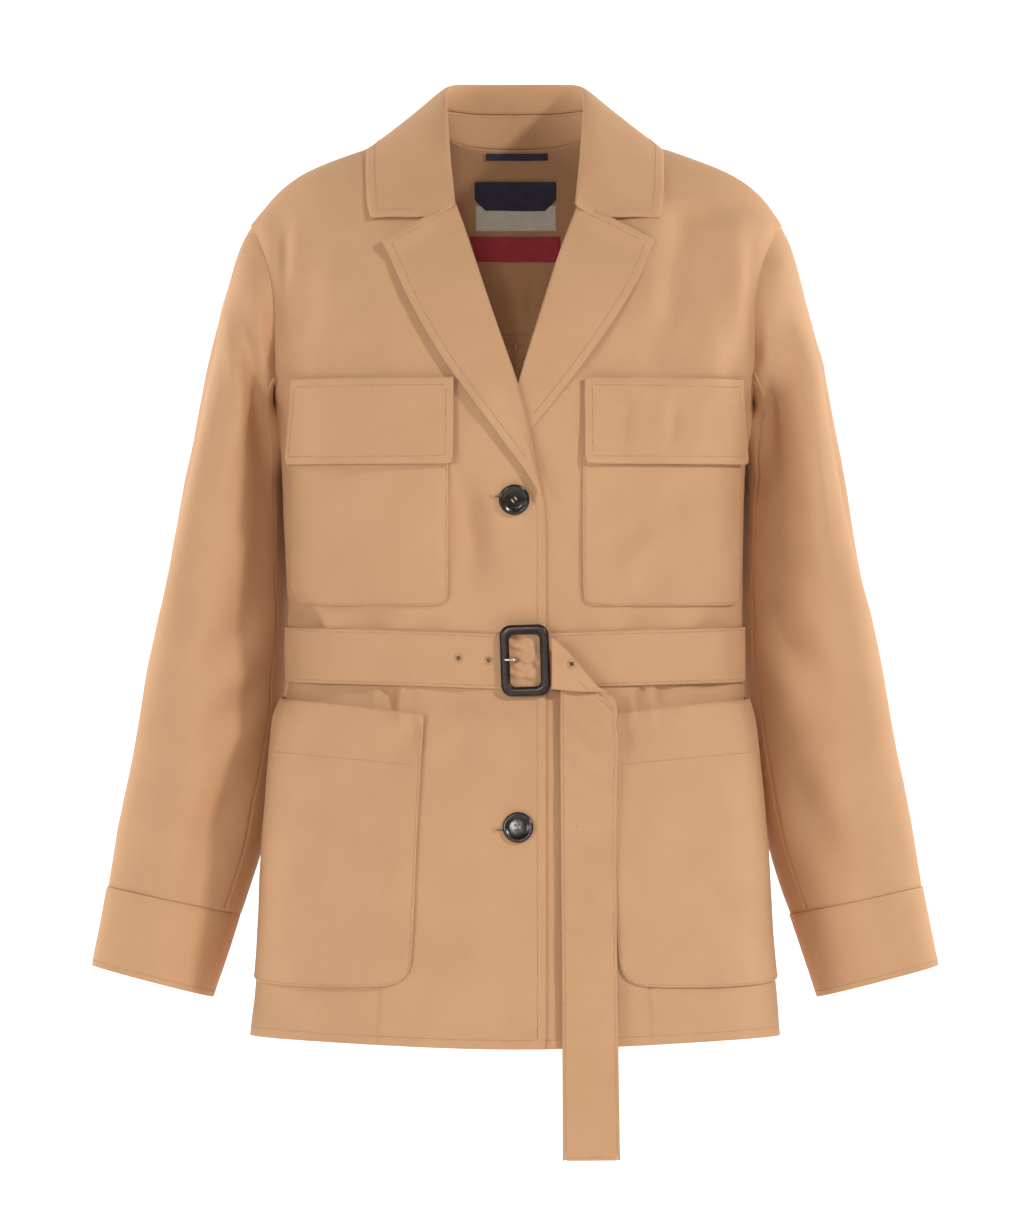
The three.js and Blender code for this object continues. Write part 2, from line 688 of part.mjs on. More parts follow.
// A hip pocket runs round the side; its mouth stands off the body.
function buildHipPocket(name, side) {
  const span = 185;
  const surface = (out) => (u, v) => {
    const corner = cornerRise(span * u, HIP.corner) + cornerRise(span * (1 - u), HIP.corner / 2);
    const top = lerp(HIP_TOP.inner, HIP_TOP.outer, u);
    const bottom = lerp(HIP_BOTTOM.inner, HIP_BOTTOM.outer, u) - 5 * Math.sin(HALF_TURN * u) + corner;
    const z = lerp(top, bottom, v);
    const innerX = side * lerp(HIP.innerTop, HIP.innerBottom, v);
    const angle = lerp(angleOf(innerX, z), side * degToRad(HIP.outerAngle), u);
    const mouth = HIP.lift * (1 - v) ** 3 * smoothstep(u, 0.05, 0.4) * (1 - smoothstep(u, 0.85, 1));
    return onBody(angle, z, LAY + mouth + out);
  };
  const columns = [0, 0.012, 0.04, 0.09, ...steps(12).slice(2, -1), 0.965, 1];
  const rows = [0, 0.05, 0.12, 0.25, 0.42, 0.6, 0.8, 1];
  add(name, wall({ columns, rows, outside: surface(WALL), inside: surface(0) }));
}

const beltLevel = (angle) => WAIST + BELT_RISE * Math.abs(Math.sin(angle / 2));
const beltLift = (x) => LAP * smoothstep(x, -56, -36) * (1 - smoothstep(x, 27, 50));

function buildBelt() {
  const surface = (out) => (degrees, height) => {
    const angle = degToRad(degrees);
    const z = beltLevel(angle);
    const place = onBody(angle, z, beltLift(bodyPoint(angle, z).x) + LAY + out);
    place.z = z + height * BELT_WIDTH;
    return place;
  };
  const columns = between(0, 360, steps(64)).slice(0, -1);
  const closer = columns.map((degrees) => degrees + 9 * Math.sin(degToRad(2 * degrees)));
  const rows = [-0.5, 0.5];
  add("belt", wall({ columns: closer, rows, outside: surface(DOUBLE), inside: surface(0), round: true }));
}

function buildTail() {
  const middle = (u, step) => {
    const x = lerp(read(TAIL, "upperX", step), read(TAIL, "lowerX", step), u);
    const z = lerp(read(TAIL, "upperZ", step), read(TAIL, "lowerZ", step), u);
    return onBody(angleOf(x, z), z, read(TAIL, "lift", step));
  };
  const rows = [0, 0.5, 1, 1.5, 1.8, 2.1, 2.3, 2.5, 2.7, 2.9, 3.2, 3.6, 4, 4.5, 5, 5.5, 6, 7, 8, 9, 10];
  add("belt_tail", wall({ columns: steps(3), rows, ...bothSides(middle, DOUBLE) }));
}

function roundedRectangle(path, width, height, radius) {
  const [x, y] = [width / 2 - radius, height / 2 - radius];
  path.absarc(x, y, radius, 0, HALF_TURN / 2);
  path.absarc(-x, y, radius, HALF_TURN / 2, HALF_TURN);
  path.absarc(-x, -y, radius, HALF_TURN, 1.5 * HALF_TURN);
  path.absarc(x, -y, radius, 1.5 * HALF_TURN, 2 * HALF_TURN);
  path.closePath();
  return path;
}

const buckleBack = () => {
  const beltFace = onBody(angleOf(BUCKLE.x, BUCKLE.z), BUCKLE.z, LAP + LAY + DOUBLE);
  return beltFace.y - GAP;
};

function buildBuckle() {
  const { width, height, bar, corner, thick, round } = BUCKLE;
  const shape = roundedRectangle(new THREE.Shape(), width - 2 * round, height - 2 * round, corner - round);
  const opening = [width - 2 * bar + 2 * round, height - 2 * bar + 2 * round];
  shape.holes.push(roundedRectangle(new THREE.Path(), ...opening, corner / 2 + round));
  const bevel = { bevelThickness: round, bevelSize: round, bevelSegments: 2 };
  const geometry = new THREE.ExtrudeGeometry(shape, { depth: thick, curveSegments: 4, ...bevel });
  geometry.translate(0, 0, round).rotateX(HALF_TURN / 2).rotateY(degToRad(-BUCKLE.tilt));
  const mesh = add("buckle_frame", geometry, LEATHER);
  mesh.position.set(BUCKLE.x, buckleBack() - 0.2, BUCKLE.z);
}

function buildProng() {
  const radius = 1.1;
  const front = -(BUCKLE.thick + 2 * BUCKLE.round + GAP + radius + 0.2);
  const left = BUCKLE.x - BUCKLE.width / 2;
  const path = new THREE.CatmullRomCurve3([
    new THREE.Vector3(left + 2.5, front, 0),
    new THREE.Vector3(left + BUCKLE.bar, front, 0),
    new THREE.Vector3(left + BUCKLE.bar + 3.5, front + 1.8, 0),
    new THREE.Vector3(left + BUCKLE.bar + 8.5, -radius - 0.1, 0),
  ]);
  const section = new THREE.Shape().absarc(0, 0, radius, 0, 2 * HALF_TURN);
  const options = { steps: 8, extrudePath: path, bevelEnabled: false, curveSegments: 4 };
  const mesh = add("buckle_prong", new THREE.ExtrudeGeometry(section, options), STEEL);
  mesh.position.set(0, buckleBack(), BUCKLE.z + 0.5);
}

function buildButton(name, [x, z]) {
  const { radius, thick, rim, dish } = BUTTON;
  const profile = [
    [0, 0],
    [radius - 2, 0],
    [radius - 0.4, 0.9],
    [radius, 1.9],
    [radius - 0.9, thick],
    [radius - rim, thick - dish],
    [0, thick - dish - 0.2],
  ].map(([r, h]) => new THREE.Vector2(r, h));
  const angle = angleOf(x, z);
  const mesh = add(name, new THREE.LatheGeometry(profile, 20), HORN);
  const normal = bodyNormal(angle, z);
  mesh.quaternion.setFromUnitVectors(new THREE.Vector3(0, 1, 0), normal);
  mesh.position.copy(onBody(angle, z, lapLift(x, z) + 2 * GAP));
}

function buildLabel(name, { middle, width, top, bottom, off, colour }) {
  const surface = (out) => (u, v) => {
    const x = middle + width * (u - 0.5);
    const z = lerp(bottom, top, v);
    return onBody(angleOf(x, z, true), z, -WALL - off - out);
  };
  const material = new THREE.MeshStandardMaterial({ color: colour, roughness: 0.8, metalness: 0 });
  const shape = { columns: steps(4), rows: steps(1), outside: surface(0), inside: surface(LABEL_WALL) };
  add(name, wall(shape), material);
}

buildFront("front_right", -1, EDGE_RIGHT, lapLift);
buildFront("front_left", 1, EDGE_LEFT, () => 0);
buildBack("back_right", -1);
buildBack("back_left", 1);
buildYoke();
buildLapel("lapel_right", LAPEL_RIGHT, lapLift, rightStand);
buildLapel("lapel_left", LAPEL_LEFT, () => 0, leftStand);
buildCollar();
for (const [word, side] of [["right", -1], ["left", 1]]) {
  buildSleeve(word, side);
  const { pocket, flap } = CHEST_EDGES[word];
  buildPatch(`chest_pocket_${word}`, pocket, CHEST, LAY, 6);
  buildPatch(`chest_flap_${word}`, flap, FLAP, 2 * LAY + WALL, 4);
  buildHipPocket(`hip_pocket_${word}`, side);
}
buildBelt();
buildTail();
buildBuckle();
buildProng();
for (const [name, place] of Object.entries(BUTTONS)) buildButton(name, place);
for (const [name, label] of Object.entries(LABELS)) buildLabel(name, label);

export default jacket;
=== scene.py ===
# %% [markdown]
# # A belted cotton jacket
# A field jacket of camel cotton gabardine, filled out as it is worn, with nobody in it.
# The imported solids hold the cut: each sewn piece is one wall. This script gives every wall its fine
# shape, its cloth and its sewing, and leaves each piece exactly where the frame has it. X runs to
# the wearer's left, and the front faces -Y.

import math

import bmesh
import bpy
import numpy as np
from mathutils import Matrix, Vector, noise
from mathutils.bvhtree import BVHTree
from mathutils.kdtree import KDTree


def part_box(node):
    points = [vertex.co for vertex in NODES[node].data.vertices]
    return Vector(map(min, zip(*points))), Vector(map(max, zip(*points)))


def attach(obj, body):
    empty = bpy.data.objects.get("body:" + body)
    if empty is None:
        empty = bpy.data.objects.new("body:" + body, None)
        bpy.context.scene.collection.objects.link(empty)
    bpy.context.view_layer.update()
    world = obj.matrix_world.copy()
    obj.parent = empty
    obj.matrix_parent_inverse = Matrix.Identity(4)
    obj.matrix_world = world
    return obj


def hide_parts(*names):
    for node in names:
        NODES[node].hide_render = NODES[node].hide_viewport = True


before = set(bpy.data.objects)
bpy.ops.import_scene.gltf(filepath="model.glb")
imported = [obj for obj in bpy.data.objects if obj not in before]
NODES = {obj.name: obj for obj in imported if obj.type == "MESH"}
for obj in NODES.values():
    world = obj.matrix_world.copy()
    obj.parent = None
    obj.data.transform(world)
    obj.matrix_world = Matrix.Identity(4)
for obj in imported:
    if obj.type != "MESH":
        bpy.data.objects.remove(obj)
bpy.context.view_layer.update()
MM = 0.001
print("CAD nodes:", len(NODES))

# %% [markdown]
# ## The camera
# The jacket was photographed from straight in front with a long lens, so that near and far parts keep
# almost the same size. A level camera 12 m away gives that. Its lens is worked out from the height
# that the picture covers.

# %% The camera
PICTURE_HEIGHT = 1232  # pixels
SCALE = 0.82 * MM  # one pixel of the picture, at the jacket's middle
CAMERA_DISTANCE = 12.0
PICTURE_MIDDLE = Vector((-2.5 * MM, 0, -384 * MM))

camera_data = bpy.data.cameras.new("camera")
camera_data.sensor_width = 36
camera_data.lens = camera_data.sensor_width * CAMERA_DISTANCE / (PICTURE_HEIGHT * SCALE)
camera_data.clip_end = 60
camera = bpy.data.objects.new("camera", camera_data)
camera.location = PICTURE_MIDDLE - Vector((0, CAMERA_DISTANCE, 0))
camera.rotation_euler = (math.pi / 2, 0, 0)
scene = bpy.context.scene
scene.collection.objects.link(camera)
scene.camera = camera
scene.view_settings.view_transform = "Standard"
print("lens", round(camera_data.lens), "mm")

# %% [markdown]
# ## Backdrop and light
# A catalogue picture is lit so evenly that the background turns white and cloth keeps only soft
# shadows. A pale sweep, floor and wall in one, stands behind and below the hanging jacket. One
# soft box above and to the right puts a shadow on the left side of every edge, a larger one on the
# left fills, a small one by the camera reaches into the neck, and the pale room does the rest.

# %% Backdrop and light
FLOOR_LEVEL = -1.3
WALL_Y = 2.2
SWEEP_RADIUS = 0.9


def plain_material(name, colour, roughness):
    material = bpy.data.materials.new(name)
    material.use_nodes = True
    shader = material.node_tree.nodes["Principled BSDF"]
    shader.inputs["Base Color"].default_value = (*colour, 1)
    shader.inputs["Roughness"].default_value = roughness
    return material


def clear_from_behind(material):
    """Lets a camera behind the backdrop look through its reverse side."""
    nodes, links = material.node_tree.nodes, material.node_tree.links
    side = nodes.new("ShaderNodeNewGeometry")
    clear = nodes.new("ShaderNodeBsdfTransparent")
    either = nodes.new("ShaderNodeMixShader")
    links.new(side.outputs["Backfacing"], either.inputs["Fac"])
    links.new(nodes["Principled BSDF"].outputs["BSDF"], either.inputs[1])
    links.new(clear.outputs["BSDF"], either.inputs[2])
    links.new(either.outputs["Shader"], nodes["Material Output"].inputs["Surface"])
    return material


def build_sweep():
    bm = bmesh.new()
    edge = [bm.verts.new((x, -3, FLOOR_LEVEL)) for x in (-5, 5)]
    start = bm.edges.new(edge)
    floor = bmesh.ops.extrude_edge_only(bm, edges=[start])["geom"]
    moved = [v for v in floor if isinstance(v, bmesh.types.BMVert)]
    bmesh.ops.translate(bm, verts=moved, vec=(0, 3 + WALL_Y - SWEEP_RADIUS, 0))
    line = [e for e in floor if isinstance(e, bmesh.types.BMEdge)]
    centre = (0, WALL_Y - SWEEP_RADIUS, FLOOR_LEVEL + SWEEP_RADIUS)
    turn = {"cent": centre, "axis": (1, 0, 0), "angle": math.pi / 2, "steps": 16}
    bent = bmesh.ops.spin(bm, geom=moved + line, **turn)["geom_last"]
    rising = bmesh.ops.extrude_edge_only(bm, edges=[e for e in bent if isinstance(e, bmesh.types.BMEdge)])
    top = [v for v in rising["geom"] if isinstance(v, bmesh.types.BMVert)]
    bmesh.ops.translate(bm, verts=top, vec=(0, 0, 4))
    bmesh.ops.recalc_face_normals(bm, faces=bm.faces)
    wall = max(bm.faces, key=lambda face: face.calc_center_median().z)
    if wall.normal.y > 0:
        bmesh.ops.reverse_faces(bm, faces=bm.faces)
    mesh = bpy.data.meshes.new("backdrop")
    bm.to_mesh(mesh)
    bm.free()
    mesh.shade_smooth()
    return mesh


backdrop = bpy.data.objects.new("backdrop", build_sweep())
paper = plain_material("matt white paper", (0.95, 0.95, 0.95), 0.9)
backdrop.data.materials.append(clear_from_behind(paper))
scene.collection.objects.link(backdrop)


def soft_box(name, place, aim, size, power):
    light = bpy.data.lights.new(name, "AREA")
    light.shape = "DISK"
    light.size = size
    light.energy = power
    box = bpy.data.objects.new(name, light)
    box.location = place
    box.rotation_euler = (Vector(aim) - Vector(place)).to_track_quat("-Z", "Y").to_euler()
    scene.collection.objects.link(box)


JACKET_MIDDLE = (0, 0, -0.4)
soft_box("key light", (2.7, -2.9, 1.7), JACKET_MIDDLE, 0.45, 80)
soft_box("fill light", (-2.9, -2.9, 0.2), JACKET_MIDDLE, 1.4, 43)
soft_box("front light", (-0.3, -5.0, 0.2), JACKET_MIDDLE, 0.7, 44)
soft_box("back light left", (-2.0, 0.9, 0.6), (0, 1.9, -0.4), 1.6, 48)
soft_box("back light right", (2.0, 0.9, 0.6), (0, 1.9, -0.4), 1.6, 48)
world = bpy.data.worlds.new("pale room")
world.use_nodes = True
world.node_tree.nodes["Background"].inputs["Color"].default_value = (1, 0.99, 0.975, 1)
world.node_tree.nodes["Background"].inputs["Strength"].default_value = 0.15
scene.world = world

# %% [markdown]
# ## Colours and node trees
# A colour in this script is an sRGB hex value, while a shader reckons in linear light, so one function
# turns the first into the second. A second small function adds a node with its settings and links,
# which keeps each material readable as a short recipe.

# %% Helpers for materials


def linear(hex_code):
    """The linear RGBA of an sRGB hex colour."""
    channels = [int(hex_code[i : i + 2], 16) / 255 for i in (1, 3, 5)]
    return [c / 12.92 if c <= 0.04045 else ((c + 0.055) / 1.055) ** 2.4 for c in channels] + [1]


def add_node(material, kind, inputs=None, **settings):
    """A node with its settings; an input is given a value or linked to a socket."""
    tree = material.node_tree
    made = tree.nodes.new("ShaderNode" + kind)
    for name, value in settings.items():
        setattr(made, name, value)
    for name, value in (inputs or {}).items():
        if isinstance(value, bpy.types.NodeSocket):
            tree.links.new(value, made.inputs[name])
        else:
            made.inputs[name].default_value = value
    return made


def new_material(name, **sockets):
    """A material whose shader has these plain values, and the shader."""
    material = bpy.data.materials.new(name)
    material.use_nodes = True
    shader = material.node_tree.nodes["Principled BSDF"]
    for socket, value in sockets.items():
        shader.inputs[socket.replace("_", " ")].default_value = value
    return material, shader


def finish_with(material, shader, colour=None, roughness=None, height=None, bump_mm=0.1, strength=1):
    """Links what varies over the surface: colour, roughness and height."""
    links = material.node_tree.links
    if colour:
        links.new(colour, shader.inputs["Base Color"])
    if roughness:
        links.new(roughness, shader.inputs["Roughness"])
    if height:
        inputs = {"Height": height, "Distance": bump_mm * MM, "Strength": strength}
        bump = add_node(material, "Bump", inputs)
        links.new(bump.outputs["Normal"], shader.inputs["Normal"])
    return material


WAVE_PERIOD = 2 * math.pi / 20  # of Blender's wave texture at scale 1


def wave_scale(spacing_mm):
    """The wave texture's scale that gives bands this far apart."""
    return WAVE_PERIOD / (spacing_mm * MM)


def noise_scale(grain_mm):
    return 1 / (grain_mm * MM)


# %% [markdown]
# ## Cotton gabardine
# Gabardine is a tightly woven twill of fine combed cotton. Its ribs climb steeply, at about 63
# degrees, and lie 0.4 mm apart: far too fine for this picture, so they are drawn 1.3 mm apart and
# very shallow. The eye sees a smooth, dry cloth with a faint bloom where it turns away, and slightly
# uneven dye. The ribs follow each piece by its own attribute, `threads`, in metres across and up the
# cloth, because a pattern on Object coordinates would smear round the sides.

# %% Cotton gabardine
RIB_SPACING_MM = 1.3  # 0.4 mm on the real cloth
RIB_ANGLE = math.radians(63)


def gabardine(name, light, dark, rib_depth_mm=0.05):
    material, shader = new_material(
        name,
        Roughness=0.86,
        Specular_IOR_Level=0.22,
        Sheen_Weight=0.1,
        Sheen_Roughness=0.45,
        Sheen_Tint=linear("#f3dcc0"),
    )
    threads = add_node(material, "Attribute", attribute_name="threads").outputs["Vector"]
    turned = add_node(material, "Mapping", {"Vector": threads, "Rotation": (0, 0, RIB_ANGLE)})
    ribs = add_node(
        material,
        "TexWave",
        {"Vector": turned.outputs["Vector"], "Scale": wave_scale(RIB_SPACING_MM), "Distortion": 0.6},
    )
    place = add_node(material, "TexCoord").outputs["Object"]
    dye = add_node(material, "TexNoise", {"Vector": place, "Scale": noise_scale(45), "Detail": 5})
    slubs = add_node(material, "TexNoise", {"Vector": threads, "Scale": noise_scale(2.2), "Detail": 3})
    mixed = add_node(
        material,
        "Math",
        {0: slubs.outputs[0], 1: 0.35},
        operation="MULTIPLY",
    )
    both = add_node(material, "Math", {0: dye.outputs[0], 1: mixed.outputs[0]}, operation="ADD")
    ramp = add_node(material, "ValToRGB", {"Fac": both.outputs[0]})
    ramp.color_ramp.elements[0].position = 0.5
    ramp.color_ramp.elements[0].color = linear(dark)
    ramp.color_ramp.elements[1].position = 0.85
    ramp.color_ramp.elements[1].color = linear(light)
    grain = add_node(material, "Math", {0: ribs.outputs["Fac"], 1: slubs.outputs[0]}, operation="ADD")
    return finish_with(material, shader, ramp.outputs["Color"], None, grain.outputs[0], rib_depth_mm, 0.5)


GABARDINE = gabardine("cotton gabardine, camel", "#cfa179", "#ca9c74")
print("made", GABARDINE.name)

# %% [markdown]
# ## From a solid wall to cloth
# A packed wall is a coarse, faceted grid of loose triangles. A copy of it is merged and its
# triangles are joined to quads. Its sharp edges part it into the outer sheet, the inner sheet and
# the narrow rims between them. Where a piece is sewn to its neighbour, its rims grow by a small
# turning, so that no light comes through the seam. Subdivision Surface rounds the wall while a
# crease keeps its rims, and long edges are cut until the grid can hold real folds. Keeping both
# faces, in place of one face with a Solidify, keeps the true thickness and the true seams.

# %% The cloth grid
RIM_ANGLE = math.radians(35)
RIM_SHARPNESS = 0.62
WELD = 0.01 * MM
# The collar's points hang lower on the finished jacket than on its solid, and so further forward.
POINTS_START = -30 * MM
POINTS_REACH = 14 * MM
POINTS_DROP = Vector((0, -6.5, -5)) * MM


def wall_cage(name):
    """A merged copy of a CAD wall, in quads."""
    bm = bmesh.new()
    bm.from_mesh(NODES[name].data)
    bmesh.ops.remove_doubles(bm, verts=bm.verts, dist=WELD)
    limits = {"angle_face_threshold": math.radians(40), "angle_shape_threshold": math.radians(70)}
    bmesh.ops.join_triangles(bm, faces=bm.faces, **limits)
    if name == "collar_leaf":
        for vert in bm.verts:
            vert.co += POINTS_DROP * min(1, max(0, (POINTS_START - vert.co.z) / POINTS_REACH))
    bm.faces.index_update()
    bm.verts.index_update()
    return bm


def is_sharp(edge):
    return not edge.is_manifold or edge.calc_face_angle() > RIM_ANGLE


def parts_of(bm):
    """Groups of faces with no sharp edge between them, the largest first."""
    seen = set()
    groups = []
    for first in bm.faces:
        if first.index in seen:
            continue
        seen.add(first.index)
        group = [first]
        for face in group:
            for edge in face.edges:
                for other in edge.link_faces:
                    if other.index not in seen and not is_sharp(edge):
                        seen.add(other.index)
                        group.append(other)
        groups.append(group)
    return sorted(groups, key=lambda faces: -sum(f.calc_area() for f in faces))


def give_turnings(bm, edges, amount, tuck):
    """Grows a wall at its rims; tuck(place) gives a further move where the piece slips under another."""
    move = {}
    for face in (f for group in edges for f in group):
        for vert in face.verts:
            move[vert] = move.get(vert, Vector()) + face.normal
    for vert, way in move.items():
        vert.co += way.normalized() * amount + tuck(vert.co.copy(), way.normalized())


LONG_EDGE = 15 * MM
BEND = math.radians(25)


def is_corner(vert):
    """Whether the cut turns here: a corner of the piece, or a clear bend between two long edges."""
    sharp = [edge for edge in vert.link_edges if is_sharp(edge)]
    if len(sharp) != 2:
        return len(sharp) > 2
    ways = [edge.other_vert(vert).co - vert.co for edge in sharp]
    return min(way.length for way in ways) > LONG_EDGE and ways[0].angle(-ways[1]) > BEND


def crease_rims(bm, corner_sharpness):
    """Creases the rims, and the corners of the cut so that they keep their place."""
    crease = bm.edges.layers.float.new("crease_edge")
    corner = bm.verts.layers.float.new("crease_vert")
    for edge in bm.edges:
        if is_sharp(edge):
            edge[crease] = RIM_SHARPNESS
    for vert in bm.verts:
        if is_corner(vert):
            vert[corner] = corner_sharpness


def mesh_object(name, bm):
    mesh = bpy.data.meshes.new(name)
    bm.to_mesh(mesh)
    bm.free()
    made = bpy.data.objects.new(name, mesh)
    scene.collection.objects.link(made)
    return made


def applied(made, kind, **settings):
    """Applies one modifier to an object's mesh."""
    modifier = made.modifiers.new(kind.lower(), kind)
    for name, value in settings.items():
        setattr(modifier, name, value)
    graph = bpy.context.evaluated_depsgraph_get()
    finished = bpy.data.meshes.new_from_object(made.evaluated_get(graph))
    made.modifiers.clear()
    made.data = finished
    return made


def evened(made, step, within=lambda place: True):
    """Cuts the long edges of an object's mesh until they are near one step."""
    bm = bmesh.new()
    bm.from_mesh(made.data)
    for cuts in (3, 2, 1):
        long = [e for e in bm.edges if e.calc_length() > (cuts + 0.6) * step]
        chosen = [e for e in long if within((e.verts[0].co + e.verts[1].co) / 2)]
        bmesh.ops.subdivide_edges(bm, edges=chosen, cuts=cuts, use_grid_fill=True)
    bm.to_mesh(made.data)
    bm.free()
    return made


# %% [markdown]
# ## Rims and what runs along them
# Most sewing on a jacket follows an edge at a set distance. So each wall's rims are kept as closed
# lines, with the sheet's normal at every point. Crossing the normal with the direction of travel
# gives the way into the sheet, and a line moved that way is where a seam or a row of stitches goes.

# %% Rim lines
RIM_STEP = 1.5 * MM


def rim_lines(sheet):
    """Closed lines round a sheet, each as an array of places and one of normals."""
    inside = {face.index for face in sheet}
    border = {}
    for face in sheet:
        for loop in face.loops:
            if all(other is face or other.index not in inside for other in loop.edge.link_faces):
                border[loop.vert.index] = loop
    lines = []
    while border:
        here = next(iter(border))
        places, normals = [], []
        while here in border:
            loop = border.pop(here)
            near = [f.normal for f in loop.vert.link_faces if f.index in inside]
            places.append(loop.vert.co[:])
            normals.append(sum(near, Vector()).normalized()[:])
            here = loop.link_loop_next.vert.index
        lines.append(evenly(np.array(places), np.array(normals)))
    return lines


def evenly(places, normals, step=RIM_STEP, closed=True):
    """The same line with its points one step apart."""
    if closed:
        places = np.vstack([places, places[:1]])
        normals = np.vstack([normals, normals[:1]])
    along = np.concatenate([[0], np.cumsum(np.linalg.norm(np.diff(places, axis=0), axis=1))])
    at = np.linspace(0, along[-1], max(2, round(along[-1] / step)) + 1)
    if closed:
        at = at[:-1]
    spread = [np.interp(at, along, values) for values in (*places.T, *normals.T)]
    return np.stack(spread[:3], axis=1), np.stack(spread[3:], axis=1)


# %% [markdown]
# ## Which way is out
# A fold moves both faces of a wall the same way, so it needs a direction that depends only on the
# place: away from the middle of the body, or away from the middle line of a sleeve. The same field
# serves a panel and whatever is sewn on it, so a pocket rides its panel's folds without touching it.

# %% Outward directions
BODY_HALF_WIDTH = 200 * MM
BODY_HALF_DEPTH = 128 * MM
SHOULDER_START = -80 * MM
SHOULDER_RISE = 130 * MM
# A sleeve's middle line: height, distance from the jacket's middle plane, and distance back.
SLEEVE_LINE = {
    "z": [-684, -617, -530, -422, -291, -217, -169, -136],
    "x": [298, 280, 262, 246, 233, 226, 218, 206],
    "y": [34, 40, 50, 45, 28, 14, 5, 0],
}


def sleeve_middle(z):
    heights = np.array(SLEEVE_LINE["z"]) * MM
    across = np.interp(z, heights, np.array(SLEEVE_LINE["x"]) * MM)
    back = np.interp(z, heights, np.array(SLEEVE_LINE["y"]) * MM)
    return across, back


def unit(vectors):
    return vectors / np.linalg.norm(vectors, axis=1, keepdims=True)


def body_outward(places):
    x, y, z = places.T
    up = np.maximum(0, z - SHOULDER_START) / SHOULDER_RISE**2
    return unit(np.stack([x / BODY_HALF_WIDTH**2, y / BODY_HALF_DEPTH**2, up], axis=1))


def sleeve_outward(places):
    x, y, z = places.T
    across, back = sleeve_middle(z)
    return unit(np.stack([x - np.sign(x) * across, y - back, np.zeros_like(z)], axis=1))


CLOTH_WORDS = ("front", "back", "lapel", "collar", "sleeve", "cuff", "chest", "hip", "belt")
SLEEVE_WORDS = ("sleeve", "cuff")


def outward_of(name, places):
    return sleeve_outward(places) if name.startswith(SLEEVE_WORDS) else body_outward(places)


def threads_on(places, is_sleeve):
    """Metres across the cloth and up it, for the weave."""
    x, y, z = places.T
    if is_sleeve:
        across, back = sleeve_middle(z)
        round_it = np.arctan2(x - np.sign(x) * across, back - y) * 65 * MM
    else:
        round_it = np.arctan2(x / BODY_HALF_WIDTH, -y / BODY_HALF_DEPTH) * 170 * MM
    return np.stack([round_it, z, np.zeros_like(z)], axis=1)


# %% [markdown]
# ## Folds
# The main creases are placed one by one. Each one is a short row: the pieces that it runs over, the
# side that it is drawn from, its width and depth in millimetres, and the points that it passes, each
# with its strength there. Widths, depths and lengths differ as they do on the real jacket: cloth
# gathers under the belt, drags from the armhole, and bunches at the inner elbow.

# %% The shape of a fold
# axis across, axis faced, its sign
VIEWS = {"front": (0, 1, -1), "back": (0, 1, 1), "right": (1, 0, -1), "left": (1, 0, 1)}


def smooth_path(points, pieces=8):
    """A smooth line through a few points (Catmull and Rom)."""
    given = np.array([points[0], *points, points[-1]], float)
    line = []
    for i in range(1, len(given) - 2):
        before, start, finish, after = given[i - 1 : i + 3]
        for t in np.arange(pieces) / pieces:
            bend = start * 2 + (finish - before) * t
            bend += (2 * before - 5 * start + 4 * finish - after) * t**2
            bend += (3 * start - before - 3 * finish + after) * t**3
            line.append(bend / 2)
    return np.array([*line, given[-1]])


def distance_along(flat, line):
    """Distance of each flat place from a line, and the line's strength at its nearest point."""
    best = np.full(len(flat), np.inf)
    strength = np.zeros(len(flat))
    for start, finish in zip(line[:-1], line[1:]):
        step = finish[:2] - start[:2]
        t = np.clip((flat - start[:2]) @ step / (step @ step + 1e-9), 0, 1)
        apart = np.linalg.norm(flat - start[:2] - t[:, None] * step, axis=1)
        nearer = apart < best
        best = np.where(nearer, apart, best)
        strength = np.where(nearer, start[2] + (finish[2] - start[2]) * t, strength)
    return best, strength


def fold_shape(distance, width):
    """1 in the bottom of a fold, with a low bank at each side of it."""
    t = distance / width
    return np.exp(-(t**2)) - 0.38 * np.exp(-((t - 1.9) ** 2) / 0.7)


def fold_shift(places, outward, view, width, depth, points):
    """How far a fold moves each place, in millimetres; in for a positive depth."""
    across, facing, sign = VIEWS[view]
    flat = places[:, [across, 2]] / MM
    near, strength = distance_along(flat, smooth_path(points))
    seen = np.clip(sign * outward[:, facing] * 2.5 + 0.25, 0, 1)
    return -depth * strength * seen * fold_shape(near, width)


# %% [markdown]
# ## The folds of this jacket
# Fronts first: drags from the armholes, soft fullness over the chest, the crush just above the belt
# and the gathers below it. Then the same kinds of folds, placed differently, on the back, and those
# of the sleeves. A point is (across, up, strength), seen from the row's side.

